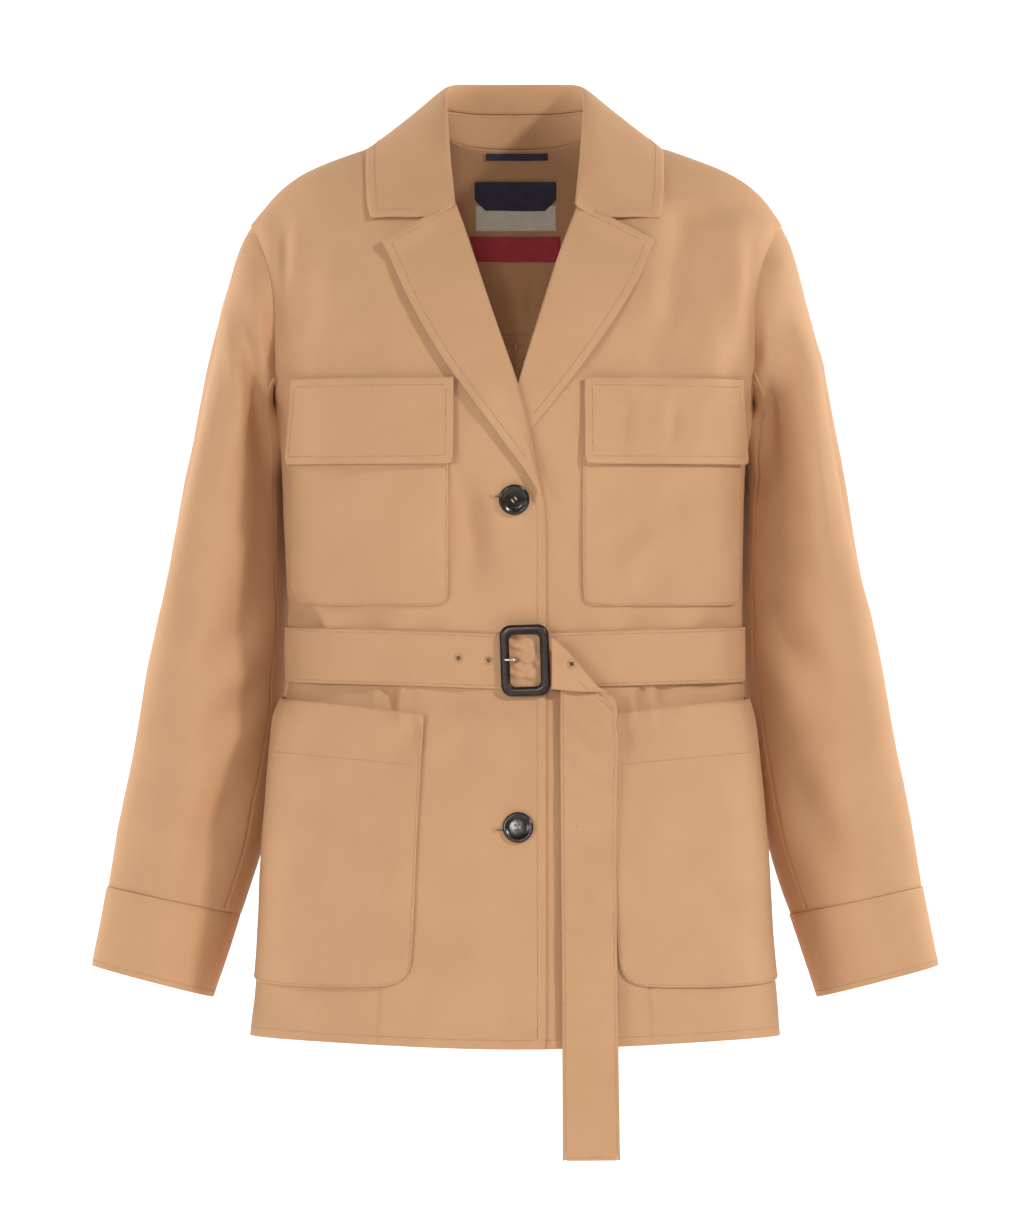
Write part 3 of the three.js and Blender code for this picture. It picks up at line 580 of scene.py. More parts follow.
# %% Fold table
BODY = ("front", "back", "chest_pocket", "chest_flap", "hip_pocket")  # the pieces' first words
SLEEVE_R = ("sleeve_upper_right", "sleeve_under_right")
SLEEVE_L = ("sleeve_upper_left", "sleeve_under_left")
TAIL = ("belt_tail",)
BELT = ("belt",)
FOLDS = [
    # front, the wearer's right
    (BODY, "front", 8, 6.5, [(-189, -52, 0), (-193, -85, 1), (-197, -125, 0.8), (-196, -170, 0)]),
    (BODY, "front", 14, 4.8, [(-168, -62, 0), (-176, -120, 0.8), (-180, -190, 0.5), (-178, -240, 0)]),
    (BODY, "front", 18, 3.9, [(-47, -255, 0), (-42, -300, 1), (-36, -350, 0.6), (-36, -385, 0)]),
    (BODY, "front", 9, 7.0, [(-186, -362, 0), (-177, -378, 0.9), (-169, -392, 1), (-166, -402, 1)]),
    (BODY, "front", 7, -4.8, [(-180, -384, 0.3), (-174, -394, 1), (-171, -404, 1)]),
    (BODY, "front", 15, 3.2, [(-120, -402, 1), (-124, -380, 0.7), (-130, -350, 0)]),
    (BODY, "front", 13, 3.0, [(-72, -402, 1), (-70, -384, 0.6), (-66, -362, 0)]),
    (BODY, "front", 6, 5.7, [(-101, -446, 1), (-100.5, -458, 1), (-99, -478, 0.2), (-98, -500, 0)]),
    (BODY, "front", 4, 3.5, [(-86, -446, 0.8), (-85, -470, 0.5), (-84, -500, 0)]),
    (BODY, "front", 22, 3.5, [(-56, -448, 0.8), (-54, -500, 1), (-52, -590, 0.3), (-52, -660, 0)]),
    (BODY, "front", 26, 2.6, [(-18, -470, 0), (-14, -540, 1), (-18, -620, 0.6), (-20, -690, 0)]),
    (BODY, "front", 11, 4.3, [(-83, -466, 0), (-87, -480, 1), (-97, -502, 0.4), (-106, -520, 0)]),
    (BODY, "front", 30, 4.3, [(-150, -480, 0), (-140, -560, 1), (-136, -640, 0.6), (-134, -700, 0)]),
    (BODY, "front", 24, -3.5, [(-98, -520, 0), (-104, -600, 1), (-108, -700, 0.5), (-110, -730, 0.3)]),
    # front, the wearer's left
    (BODY, "front", 9, 5.7, [(190, -56, 0), (194, -95, 1), (196, -140, 0.6), (194, -180, 0)]),
    (BODY, "front", 15, 4.8, [(166, -66, 0), (174, -125, 0.9), (177, -185, 0.5), (174, -240, 0)]),
    (BODY, "front", 20, 3.6, [(40, -245, 0), (38, -300, 1), (36, -350, 0.6), (34, -385, 0)]),
    (BODY, "front", 16, 3.5, [(104, -402, 1), (108, -384, 0.7), (112, -356, 0)]),
    (BODY, "front", 12, 3.9, [(160, -402, 1), (166, -386, 0.8), (172, -360, 0)]),
    (BODY, "front", 14, 2.6, [(62, -402, 1), (60, -386, 0.6), (56, -366, 0)]),
    (BODY, "front", 5, 5.7, [(104, -446, 1), (103.5, -458, 1), (102, -476, 0)]),
    (BODY, "front", 9, 4.8, [(120, -446, 1), (121, -460, 0.9), (122, -480, 0)]),
    (BODY, "front", 12, 4.3, [(84, -464, 0.5), (91, -480, 1), (95, -505, 0.3), (98, -530, 0)]),
    (BODY, "front", 30, 4.3, [(150, -480, 0), (142, -560, 1), (138, -640, 0.6), (136, -700, 0)]),
    (BODY, "front", 26, -3.5, [(100, -540, 0), (106, -610, 1), (110, -700, 0.5), (112, -730, 0.3)]),
    (
        BODY, "front", 20, 12.0,
        [(153, -44, 0), (150, -66, 1), (142, -120, 1), (128, -163, 0.9), (116, -196, 0)],
    ),
    (BODY, "front", 16, -3.9, [(114, -96, 0), (115, -133, 1), (108, -168, 0)]),
    (BODY, "front", 10, 4.8, [(103, -196, 0), (102, -221, 1), (98, -250, 0.4), (95, -268, 0)]),
    (BODY, "front", 9, 4.8, [(138, -200, 0), (134, -227, 1), (130, -252, 0.4), (128, -272, 0)]),
    (BODY, "front", 12, 5.7, [(150, -280, 0), (134, -304, 1), (100, -336, 1), (84, -356, 0)]),
    (BODY, "front", 12, 5.7, [(-42, -262, 0), (-40, -300, 1), (-37, -338, 0.7), (-36, -370, 0)]),
    (("front",), "front", 2.6, 1.4, [(104, -446, 1), (106, -600, 1), (114, -740, 1)]),
    (("front",), "front", 2.6, 1.4, [(-104, -446, 1), (-106, -600, 1), (-114, -740, 1)]),
    # back; the first four show inside the neck
    (("back",), "back", 10, 5.0, [(-32, -86, 0), (-27, -100, 1), (-15, -135, 1), (-6, -185, 0)]),
    (("back",), "back", 8, -3.0, [(-3, -100, 0), (2, -118, 1), (6, -148, 0.7), (4, -180, 0)]),
    (("back",), "back", 8, 3.4, [(22, -94, 0), (20, -112, 1), (14, -140, 0.7), (10, -170, 0)]),
    (("back",), "back", 2.6, 1.3, [(-150, -159, 1), (0, -159, 1), (150, -159, 1)]),
    (BODY, "back", 9, 4.5, [(-192, -70, 0), (-194, -110, 1), (-192, -160, 0.5), (-184, -210, 0)]),
    (BODY, "back", 9, 4.5, [(190, -66, 0), (195, -104, 1), (192, -150, 0.6), (186, -200, 0)]),
    (BODY, "back", 17, 3.9, [(-150, -190, 0), (-140, -260, 0.8), (-128, -340, 1), (-120, -400, 0.7)]),
    (BODY, "back", 20, 3.9, [(148, -200, 0), (138, -270, 0.9), (122, -350, 1), (112, -400, 0.6)]),
    (BODY, "back", 13, 3.0, [(-60, -300, 0), (-56, -350, 0.7), (-50, -402, 1)]),
    (BODY, "back", 14, 3.3, [(46, -320, 0), (50, -360, 0.8), (56, -402, 1)]),
    (BODY, "back", 8, 3.9, [(-84, -446, 1), (-86, -480, 0.8), (-92, -540, 0)]),
    (BODY, "back", 7, 4.2, [(38, -446, 1), (40, -476, 0.9), (44, -530, 0)]),
    (BODY, "back", 10, 3.9, [(96, -446, 1), (100, -490, 0.7), (108, -560, 0)]),
    (BODY, "back", 28, 3.9, [(-50, -470, 0), (-56, -560, 1), (-62, -650, 0.7), (-64, -735, 0.5)]),
    (BODY, "back", 32, 4.2, [(60, -470, 0), (70, -560, 1), (78, -650, 0.8), (82, -735, 0.5)]),
    # sleeves, seen from the front
    (SLEEVE_R, "front", 8, 6.8, [(-226, -120, 0), (-219, -160, 1), (-208, -215, 1), (-203, -270, 0)]),
    (SLEEVE_R, "front", 16, 4.8, [(-236, -100, 0), (-238, -180, 0.9), (-246, -280, 0.7), (-262, -380, 0)]),
    (SLEEVE_R, "front", 13, 4.5, [(-206, -350, 0.3), (-222, -392, 1), (-244, -420, 0.6), (-262, -436, 0)]),
    (SLEEVE_R, "front", 11, 3.9, [(-206, -430, 0.3), (-222, -452, 1), (-246, -478, 0.5), (-270, -490, 0)]),
    (SLEEVE_R, "front", 16, 4.2, [(-218, -520, 0), (-238, -548, 1), (-262, -590, 0.5), (-276, -628, 0)]),
    (SLEEVE_R, "front", 22, 3.9, [(-290, -430, 0), (-300, -500, 1), (-308, -570, 0.5), (-318, -625, 0)]),
    (
        SLEEVE_L, "front", 15, 8.0,
        [(226, -96, 0), (226, -150, 1), (221, -215, 0.9), (217, -310, 0.6), (222, -420, 0)],
    ),
    (SLEEVE_L, "front", 10, 5.7, [(203, -290, 0), (205, -232, 1), (207, -190, 0.6), (206, -165, 0)]),
    (SLEEVE_L, "front", 20, 4.2, [(252, -180, 0), (262, -270, 0.9), (276, -360, 0.6), (286, -430, 0)]),
    (SLEEVE_L, "front", 13, 4.5, [(210, -378, 0.4), (226, -410, 1), (246, -432, 0.6), (266, -442, 0)]),
    (SLEEVE_L, "front", 15, 4.2, [(222, -500, 0.2), (240, -540, 1), (262, -585, 0.6), (276, -622, 0)]),
    (SLEEVE_L, "front", 20, 3.6, [(294, -440, 0), (302, -510, 1), (312, -580, 0.5), (322, -628, 0)]),
    # along the lapels' upper edges, which stand off the fronts
    (("lapel",), "front", 9, -2.4, [(-106, -78, 1), (-82, -64, 1), (-52, -48, 0.6)]),
    (("lapel",), "front", 9, -2.4, [(108, -78, 1), (84, -64, 1), (54, -48, 0.6)]),
    # sleeves, seen from their outer sides: the drag down from the shoulder
    (SLEEVE_L, "left", 18, 4.0, [(-26, -130, 0), (-18, -210, 1), (0, -300, 0.8), (18, -380, 0)]),
    (SLEEVE_L, "left", 22, -2.0, [(30, -140, 0), (38, -240, 1), (52, -330, 0.6), (64, -400, 0)]),
    (SLEEVE_R, "right", 18, 4.0, [(-22, -150, 0), (-16, -230, 1), (-2, -310, 0.7), (14, -390, 0)]),
    (SLEEVE_R, "right", 20, -2.0, [(34, -130, 0), (40, -220, 1), (50, -310, 0.7), (60, -390, 0)]),
    (("front", "back"), "left", 16, -7, [(0, -188, 0), (0, -204, 1), (0, -222, 1), (0, -250, 0)]),
    (("front", "back"), "right", 16, -7, [(0, -188, 0), (0, -204, 1), (0, -222, 1), (0, -250, 0)]),
    # the sleeves' inner sides come up against the body below the armholes
    (SLEEVE_R, "left", 26, -11, [(6, -190, 0), (6, -208, 1), (8, -234, 1), (12, -268, 0)]),
    (SLEEVE_L, "right", 26, -11, [(6, -190, 0), (6, -208, 1), (8, -234, 1), (12, -268, 0)]),
    # sleeves, seen from behind
    (SLEEVE_R, "back", 14, 6.0, [(-212, -120, 0), (-216, -200, 1), (-214, -290, 0.6), (-216, -360, 0)]),
    (SLEEVE_R, "back", 14, 5.4, [(-296, -400, 0), (-270, -440, 1), (-240, -462, 0.7), (-222, -470, 0)]),
    (SLEEVE_R, "back", 12, 4.5, [(-304, -470, 0), (-280, -500, 1), (-250, -520, 0.5), (-232, -524, 0)]),
    (SLEEVE_L, "back", 15, 6.0, [(214, -130, 0), (217, -210, 1), (215, -300, 0.6), (218, -370, 0)]),
    (SLEEVE_L, "back", 14, 5.1, [(292, -380, 0), (268, -424, 1), (240, -452, 0.7), (224, -460, 0)]),
    (SLEEVE_L, "back", 11, 4.5, [(306, -460, 0), (282, -496, 1), (254, -514, 0.6), (236, -520, 0)]),
    # belt tail: two soft diagonals where it turns, and slow waves down its length
    (TAIL, "front", 5, 1.5, [(46, -462, 0.4), (54, -474, 1), (66, -488, 0.6), (74, -500, 0)]),
    (TAIL, "front", 6, 1.4, [(42, -484, 0.3), (54, -500, 1), (68, -512, 0.4), (78, -518, 0)]),
    (TAIL, "front", 8, 1.2, [(40, -552, 0), (56, -566, 1), (76, -576, 0)]),
    (TAIL, "front", 9, -1.0, [(40, -600, 0), (58, -622, 1), (78, -634, 0)]),
    (TAIL, "front", 11, 1.0, [(42, -684, 0), (60, -700, 1), (78, -708, 0)]),
    # the belt's turned end, crushed into the opening of the buckle
    (BELT, "front", 3.2, 2.4, [(-3, -398, 1), (2, -402, 1), (9, -404, 0)]),
    (BELT, "front", 2.2, 2.2, [(-4, -412, 1), (3, -413, 1), (7, -417, 0.7), (12, -419, 0)]),
    (BELT, "front", 2.4, 2.6, [(4, -422, 0.2), (10, -424, 1), (17, -423, 0.8), (21, -422, 0)]),
    (BELT, "front", 2.0, 2.0, [(-4, -426, 0.5), (1, -429, 1), (8, -430, 0.8), (13, -429, 0)]),
    (BELT, "front", 2.6, 2.4, [(-4, -434, 1), (2, -435, 0.6), (9, -436, 0.6), (16, -438, 0)]),
    (BELT, "front", 3.0, -1.6, [(12, -402, 0), (14, -411, 1), (17, -418, 0)]),
    (BELT, "front", 2.4, -1.4, [(4, -418, 0), (9, -421, 1), (16, -428, 0.4)]),
    (BELT, "front", 3.0, -1.6, [(6, -434, 0), (12, -433, 1), (18, -433, 0.3)]),
]
print("folds", len(FOLDS))

# %% [markdown]
# ## What a fold must leave alone
# Folds die out at the armhole, where the sleeve is sewn in, and under the belt, which presses the
# cloth flat. Between the folds the cloth is never quite smooth, so a slow, shallow unevenness, made
# from noise on the place itself, moves neighbouring pieces together.

# %% Where folds are held
ARMHOLE_HOLD = 11 * MM
ARMHOLE_MEETS = 3.5 * MM
BELT_LEVEL = -421.5 * MM
BELT_RISE = 9 * MM  # the belt sits higher at the sides
BELT_HELD = (18 * MM, 27 * MM)


def search_tree(places):
    tree = KDTree(len(places))
    for number, place in enumerate(places):
        tree.insert(place, number)
    tree.balance()
    return tree


def rim_places(words):
    lines = [line for name in rims if name.startswith(words) for line in rims[name]["outer"]]
    return [place for places, _ in lines for place in places]


rims = {}
for name in (n for n in NODES if n.startswith(CLOTH_WORDS)):
    cage = wall_cage(name)
    first, second = parts_of(cage)[:2]
    rims[name] = {}
    for sheet in (first, second):
        middles = np.array([face.calc_center_median() for face in sheet])
        facing = np.array([face.normal for face in sheet])
        is_outer = np.sum(outward_of(name, middles) * facing) > 0
        rims[name]["outer" if is_outer else "inner"] = rim_lines(sheet)
    cage.free()
body_rims = search_tree(rim_places(("front", "back")))
ARMHOLES = search_tree([p for p in rim_places(("sleeve",)) if body_rims.find(p)[2] < ARMHOLE_MEETS])
print("walls with rims", len(rims))


def hold(places, under_belt):
    """0 where the cloth is held, 1 where it is free."""
    apart = np.array([ARMHOLES.find(place)[2] for place in places])
    free = 1 - np.exp(-((apart / ARMHOLE_HOLD) ** 2))
    if under_belt:
        x, y, z = places.T
        level = BELT_LEVEL + BELT_RISE * np.abs(np.sin(np.arctan2(x, -y) / 2))
        near, far = BELT_HELD
        t = np.clip((np.abs(z - level) - near) / (far - near), 0, 1)
        free *= t * t * (3 - 2 * t)
    return free


def unevenness(places, amounts):
    """Slow waves of the cloth in millimetres; amounts holds (wavelength mm, height mm)."""
    total = np.zeros(len(places))
    for number, (length, height) in enumerate(amounts):
        shift = Vector((number * 7.3, 1.7, 0))
        waves = [noise.noise(Vector(place) / (length * MM) + shift) for place in places]
        total += np.array(waves) * height
    return total


# %% [markdown]
# ## The cut
# Every piece was cut flat from a length of gabardine. The cutting list gives that size in metres,
# with turnings, and how fine a grid the piece needs: the parts that catch the eye get 3 mm. A piece
# that is sewn into a seam all round has turnings; one that lies on another, such as a pocket, has
# none, and its edges stay crisp.

# %% Cutting list
# piece: flat width, flat length, share of that rectangle, grid step mm, turning mm
CUTTING_LIST = {
    "front_right": (0.365, 0.775, 0.80, 3.0, 0.3),
    "front_left": (0.365, 0.775, 0.80, 3.0, 0.3),
    "back_right": (0.300, 0.580, 0.92, 4.2, 0.3),
    "back_left": (0.300, 0.580, 0.92, 4.2, 0.3),
    "back_yoke": (0.540, 0.230, 0.80, 4.0, 0.35),
    "lapel_right": (0.100, 0.240, 0.60, 2.8, 0),
    "lapel_left": (0.095, 0.205, 0.60, 2.8, 0),
    "collar_stand": (0.300, 0.030, 0.95, 3.0, 0.3),
    "collar_leaf": (0.560, 0.125, 0.85, 3.0, 0),
    "sleeve_upper_right": (0.330, 0.600, 0.80, 3.2, 0.4),
    "sleeve_upper_left": (0.330, 0.600, 0.80, 3.2, 0.4),
    "sleeve_under_right": (0.150, 0.480, 0.90, 4.2, 0.4),
    "sleeve_under_left": (0.150, 0.480, 0.90, 4.2, 0.4),
    "cuff_right": (0.320, 0.075, 1.0, 3.4, 0),
    "cuff_left": (0.320, 0.075, 1.0, 3.4, 0),
    "chest_pocket_right": (0.155, 0.190, 0.98, 3.2, 0),
    "chest_pocket_left": (0.155, 0.190, 0.98, 3.2, 0),
    "chest_flap_right": (0.155, 0.072, 0.98, 3.0, 0),
    "chest_flap_left": (0.155, 0.072, 0.98, 3.0, 0),
    "hip_pocket_right": (0.230, 0.228, 0.97, 3.4, 0),
    "hip_pocket_left": (0.230, 0.228, 0.97, 3.4, 0),
    "belt": (0.990, 0.045, 1.0, 2.8, 0),
    "belt_tail": (0.047, 0.430, 0.98, 2.4, 0),
}
BUCKLE_OPENING = (-6 * MM, 23 * MM)  # across, where the belt is crushed
CRUSH_STEP = 1.1 * MM
QUIET = [(60, 0.5), (19, 0.22)]  # unevenness of the pieces that are interlined
LIVELY = [(70, 1.1), (26, 0.45)]  # and of single cloth


def drape(made, name):
    """Moves a piece's grid into its folds and stores the weave's directions."""
    mesh = made.data
    places = np.empty(len(mesh.vertices) * 3)
    mesh.vertices.foreach_get("co", places)
    places = places.reshape(-1, 3)
    threads = mesh.attributes.new("threads", "FLOAT_VECTOR", "POINT")
    is_sleeve = name.startswith(SLEEVE_WORDS)
    threads.data.foreach_set("vector", threads_on(places, is_sleeve).ravel())
    outward = outward_of(name, places)
    shift = unevenness(places, LIVELY if name.startswith(("front", "back", "sleeve", *BODY)) else QUIET)
    for pieces, view, width, depth, points in FOLDS:
        if name.startswith(pieces):
            shift += fold_shift(places, outward, view, width, depth, points)
    shift *= hold(places, under_belt=name.startswith(BODY))
    places += outward * shift[:, None] * MM
    mesh.vertices.foreach_set("co", places.ravel())
    mesh.update()
    return np.abs(shift).max()


def sew_in(made, replaced, finish):
    """Rides a piece on the jacket, hides the CAD nodes that it stands for, and gives it a finish."""
    made.data.materials.clear()
    made.data.materials.append(finish)
    made.data.shade_smooth()
    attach(made, "root")
    if replaced:
        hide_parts(*replaced)
    return made


TUCK = 6 * MM  # how far a sleeve's end goes on under the armhole's edge
TUCK_DEPTH = 2 * MM
UNDERARM = -182 * MM
UNDERARM_PRESS = 6 * MM
SQUARE = ("belt", "belt_tail", "collar_leaf")  # free pieces whose corners stay put
ROUNDED = 0.3


def tucked_under(place, way):
    """The further move of a sleeve's end: into the armhole, and under the arm against the body."""
    if ARMHOLES.find(place)[2] > 5 * MM:
        return Vector()
    outward = Vector(sleeve_outward(np.array([place]))[0])
    return way * TUCK + outward * (-TUCK_DEPTH if place.z > UNDERARM else UNDERARM_PRESS)


cloth = {}
for name, (width, length, share, step, turning) in CUTTING_LIST.items():
    cage = wall_cage(name)
    if turning:
        tuck = tucked_under if name.startswith("sleeve") else lambda place, way: Vector()
        give_turnings(cage, parts_of(cage)[2:], turning * MM, tuck)
    crease_rims(cage, 1 if turning or name in SQUARE else ROUNDED)
    piece = mesh_object(name + "_cloth", cage)
    evened(applied(piece, "SUBSURF", levels=2, render_levels=2), step * MM)
    if name == "belt":
        evened(piece, CRUSH_STEP, lambda at: BUCKLE_OPENING[0] < at.x < BUCKLE_OPENING[1] and at.y < 0)
    deepest = drape(piece, name)
    sew_in(piece, [name], GABARDINE)
    cloth[name] = piece
    area = round(sum(p.area for p in piece.data.polygons) / 2, 4)
    print(name, len(piece.data.polygons), "faces,", area, "m2, fold", round(float(deepest), 1), "mm")
print("cloth faces in all", sum(len(p.data.polygons) for p in cloth.values()))

# %% [markdown]
# ## Finding the cloth again
# Whatever is sewn on has to sit on the folded cloth. A search tree is built from each finished piece,
# and a short ray, cast back along the normal from just outside, finds the surface under any place.

# %% Search trees
REACH = 16 * MM
trees = {}


def tree_of(name):
    if name not in trees:
        mesh = cloth[name].data
        corners = [v.co[:] for v in mesh.vertices]
        trees[name] = BVHTree.FromPolygons(corners, [p.vertices[:] for p in mesh.polygons])
    return trees[name]


def laid_on(name, places, normals):
    """The places on a piece's surface under a line, with the surface's normals."""
    found = []
    for place, normal in zip(places, normals):
        start = Vector(place) + Vector(normal) * REACH
        hit, facing, _, _ = tree_of(name).ray_cast(start, -Vector(normal), 2 * REACH)
        if hit and facing.dot(Vector(normal)) > 0.3:
            found.append((hit, facing))
    return found


def seen_at(names, x, z, behind=False):
    """The first cloth met from the front, or from behind, at a place in millimetres."""
    way = Vector((0, -1 if behind else 1, 0))
    start = Vector((x * MM, 0, z * MM)) - way
    hits = [tree_of(name).ray_cast(start, way) for name in names]
    hits = [hit for hit in hits if hit[0]]
    place, facing, _, _ = min(hits, key=lambda hit: hit[3])
    return place, facing


# %% [markdown]
# ## Topstitching
# The rows of stitches are what makes a jacket look sewn. Each stitch is a thread about 2.4 mm long
# that dips into the cloth at both ends; a small dark sphere between two stitches is painted shade
# for the needle hole. A stretched icosphere of twenty faces is enough for one, and a few thousand of
# them are joined by garment part. A row of the list says which piece and sheet, how far in from the
# edge, and which part of the edge it follows.

# %% Sewing thread
THREAD_LENGTH = 2.5 * MM
THREAD_PITCH = 3.4 * MM
THREAD_SIZE = (0.8 * MM, 0.6 * MM)  # width, height
# Radius of the dark dot painted as shade in each needle hole.
HOLE_SHADE_RADIUS = 0.5 * MM


def spun_thread(name, colour, dark):
    """Smooth core-spun polyester, a little brighter than the cotton round it; dark, it is painted shade."""
    material, shader = new_material(name, Roughness=0.55, Specular_IOR_Level=0.35, Sheen_Weight=0.15)
    place = add_node(material, "TexCoord").outputs["Object"]
    twist = add_node(material, "TexNoise", {"Vector": place, "Scale": noise_scale(1.4), "Detail": 2})
    ramp = add_node(material, "ValToRGB", {"Fac": twist.outputs[0]})
    ramp.color_ramp.elements[0].position = 0.35
    ramp.color_ramp.elements[0].color = linear(dark)
    ramp.color_ramp.elements[1].position = 0.65
    ramp.color_ramp.elements[1].color = linear(colour)
    return finish_with(material, shader, ramp.outputs["Color"], None, twist.outputs[0], 0.05, 0.6)


THREAD = spun_thread("core-spun sewing thread, camel", "#d8b088", "#b98f66")
# Painted shade: dark dots and lenses that stand for the shadow in needle holes and buttonhole slits.
PAINTED_HOLE_SHADE = spun_thread("painted shade of needle holes and slits", "#6f4526", "#4a2b16")


def sew_along(bm, line, length=THREAD_LENGTH, pitch=THREAD_PITCH, size=THREAD_SIZE):
    """Adds one stitch after another along a line of (place, normal), and painted shade at each needle hole.
    """
    if len(line) < 3:
        return 0
    places = np.array([place for place, _ in line])
    normals = np.array([normal for _, normal in line])
    along = np.concatenate([[0], np.cumsum(np.linalg.norm(np.diff(places, axis=0), axis=1))])
    count = int(along[-1] / pitch)
    at = (np.arange(count)[:, None] + 0.5) * pitch + np.array([-0.5, 0, 0.5]) * length
    ends = np.stack([np.interp(at, along, values) for values in places.T], axis=-1)
    facing = np.stack([np.interp(at[:, 1], along, values) for values in normals.T], axis=-1)
    for (start, middle, finish), normal in zip(ends, facing):
        forward = Vector(finish - start).normalized()
        up = Vector(normal).normalized()
        across = up.cross(forward).normalized()
        axes = Matrix((forward * length / 2, across * size[0] / 2, up * size[1] / 2))
        turned = axes.transposed().to_4x4()
        turned.translation = Vector(middle) + up * size[1] * 0.2
        bmesh.ops.create_icosphere(bm, subdivisions=1, radius=1, matrix=turned)
        # The dark dot in the gap is painted shade for the needle hole; its faces take slot 1.
        gap = Vector(finish) + forward * (pitch - length) / 2
        hole = Matrix.Translation(gap)
        made = bmesh.ops.create_icosphere(bm, subdivisions=1, radius=HOLE_SHADE_RADIUS, matrix=hole)
        for face in {face for vert in made["verts"] for face in vert.link_faces}:
            face.material_index = 1
    return count


STRAIGHT = 0.9  # cosine of the turn of an edge, below which a far row would fan out


def edge_rows(name, sheet, inset, keep, clear=None):
    """Lines that follow the kept part of a piece's edge at a distance, laid on its cloth."""
    margin = (inset * 0.96 if clear is None else clear) * MM
    lines = rims[name][sheet]
    rim_tree = search_tree([place for places, _ in lines for place in places])
    rows = []
    for places, normals in lines:
        onward = unit(np.roll(places, -1, axis=0) - np.roll(places, 1, axis=0))
        moved = places + unit(np.cross(normals, onward)) * inset * MM
        turn = np.sum(np.roll(onward, -2, axis=0) * np.roll(onward, 2, axis=0), axis=1)
        near_enough = (turn > STRAIGHT) | (clear is None)
        good = [
            bool(fair) and keep(*(p / MM)) and rim_tree.find(m)[2] >= margin
            for fair, p, m in zip(near_enough, places, moved)
        ]
        start = good.index(False) if False in good else 0
        order = [(start + i) % len(good) for i in range(len(good))]
        run = []
        for i in order + [None]:
            if i is not None and good[i]:
                run.append(i)
            elif run:
                rows.append(laid_on(name, moved[run], normals[run]))
                run = []
    return rows


def everywhere(x, y, z):
    return True


def hem(x, y, z):
    return z < -716


def sides_and_foot(top):
    return lambda x, y, z: z < top


TOPSTITCHING = {
    "fronts": [
        ("front_right", "outer", 7, hem),
        ("front_left", "outer", 7, hem),
        ("front_right", "outer", 7, lambda x, y, z: 19 < x < 30 and z < -284),
        ("front_left", "outer", 7, lambda x, y, z: -30 < x < -18 and z < -284),
    ],
    "backs": [
        ("back_right", "outer", 7, hem),
        ("back_left", "outer", 7, hem),
        ("back_right", "outer", 6, lambda x, y, z: x > -4),
        ("back_right", "inner", 2, lambda x, y, z: x > -4 and z > -300),
        ("back_yoke", "outer", 7, lambda x, y, z: z < -150),
        ("back_yoke", "inner", 8, lambda x, y, z: z < -150),
    ],
    "collar": [
        ("collar_leaf", "outer", 7.5, lambda x, y, z: z < 6 and (abs(x) > 80 or y > 60)),
        ("lapel_right", "outer", 6.5, lambda x, y, z: z < -44 and x < -48 + (-48 - z) * 0.31 - 12),
        ("lapel_left", "outer", 6.5, lambda x, y, z: z < -44 and x > 51 - (-48 - z) * 0.33 + 12),
        ("collar_stand", "inner", 1.6, lambda x, y, z: z > 22),
    ],
    "pockets": [
        ("chest_pocket_right", "outer", 1.8, sides_and_foot(-200)),
        ("chest_pocket_left", "outer", 1.8, sides_and_foot(-200)),
        ("chest_flap_right", "outer", 6.3, everywhere),
        ("chest_flap_left", "outer", 6.3, everywhere),
        ("hip_pocket_right", "outer", 1.8, sides_and_foot(-466)),
        ("hip_pocket_left", "outer", 1.8, sides_and_foot(-466)),
        ("hip_pocket_right", "outer", 43, lambda x, y, z: z > -466, 2),
        ("hip_pocket_left", "outer", 43, lambda x, y, z: z > -466, 2),
    ],
    "cuffs": [
        ("cuff_right", "outer", 4.6, lambda x, y, z: z < -640),
        ("cuff_left", "outer", 4.6, lambda x, y, z: z < -640),
    ],
    "belt": [
        ("belt", "outer", 2.6, everywhere),
        ("belt_tail", "outer", 2.6, lambda x, y, z: z < -447 or x > 46),
    ],
}

for part, rows in TOPSTITCHING.items():
    sewing = bmesh.new()
    count = sum(sew_along(sewing, line) for row in rows for line in edge_rows(*row))
    stitches = sew_in(mesh_object("stitches_" + part, sewing), [], THREAD)
    # The second slot is the painted shade of the needle holes.
    stitches.data.materials.append(PAINTED_HOLE_SHADE)
    print("stitches on the", part, count)

# %% [markdown]
# ## Dark leather, horn, steel and woven ribbon
# The buckle is covered in smooth calf leather, dyed almost black-brown and lightly finished, so it
# gives soft highlights along its padded edges. The buttons are turned from buffalo horn: nearly
# black, with faint brown streaks, and polished. The prong is nickel-plated steel. The labels are
# woven ribbon with a satin face; what was written on them is left out, so they are blank.

# %% Materials of the trimmings


def calf_leather():
    material, shader = new_material(
        "calf leather, dyed dark brown", Specular_IOR_Level=0.28, Coat_Weight=0.12, Coat_Roughness=0.12
    )
    place = add_node(material, "TexCoord").outputs["Object"]
    grain = add_node(material, "TexVoronoi", {"Vector": place, "Scale": noise_scale(0.9)})
    tone = add_node(material, "TexNoise", {"Vector": place, "Scale": noise_scale(9), "Detail": 4})
    ramp = add_node(material, "ValToRGB", {"Fac": tone.outputs[0]})
    ramp.color_ramp.elements[0].position = 0.35
    ramp.color_ramp.elements[0].color = linear("#1d130f")
    ramp.color_ramp.elements[1].position = 0.7
    ramp.color_ramp.elements[1].color = linear("#35231c")
    gloss = add_node(material, "MapRange", {"Value": tone.outputs[0], "To Min": 0.3, "To Max": 0.42})
    height = grain.outputs["Distance"]
    return finish_with(material, shader, ramp.outputs["Color"], gloss.outputs[0], height, 0.06, 0.5)


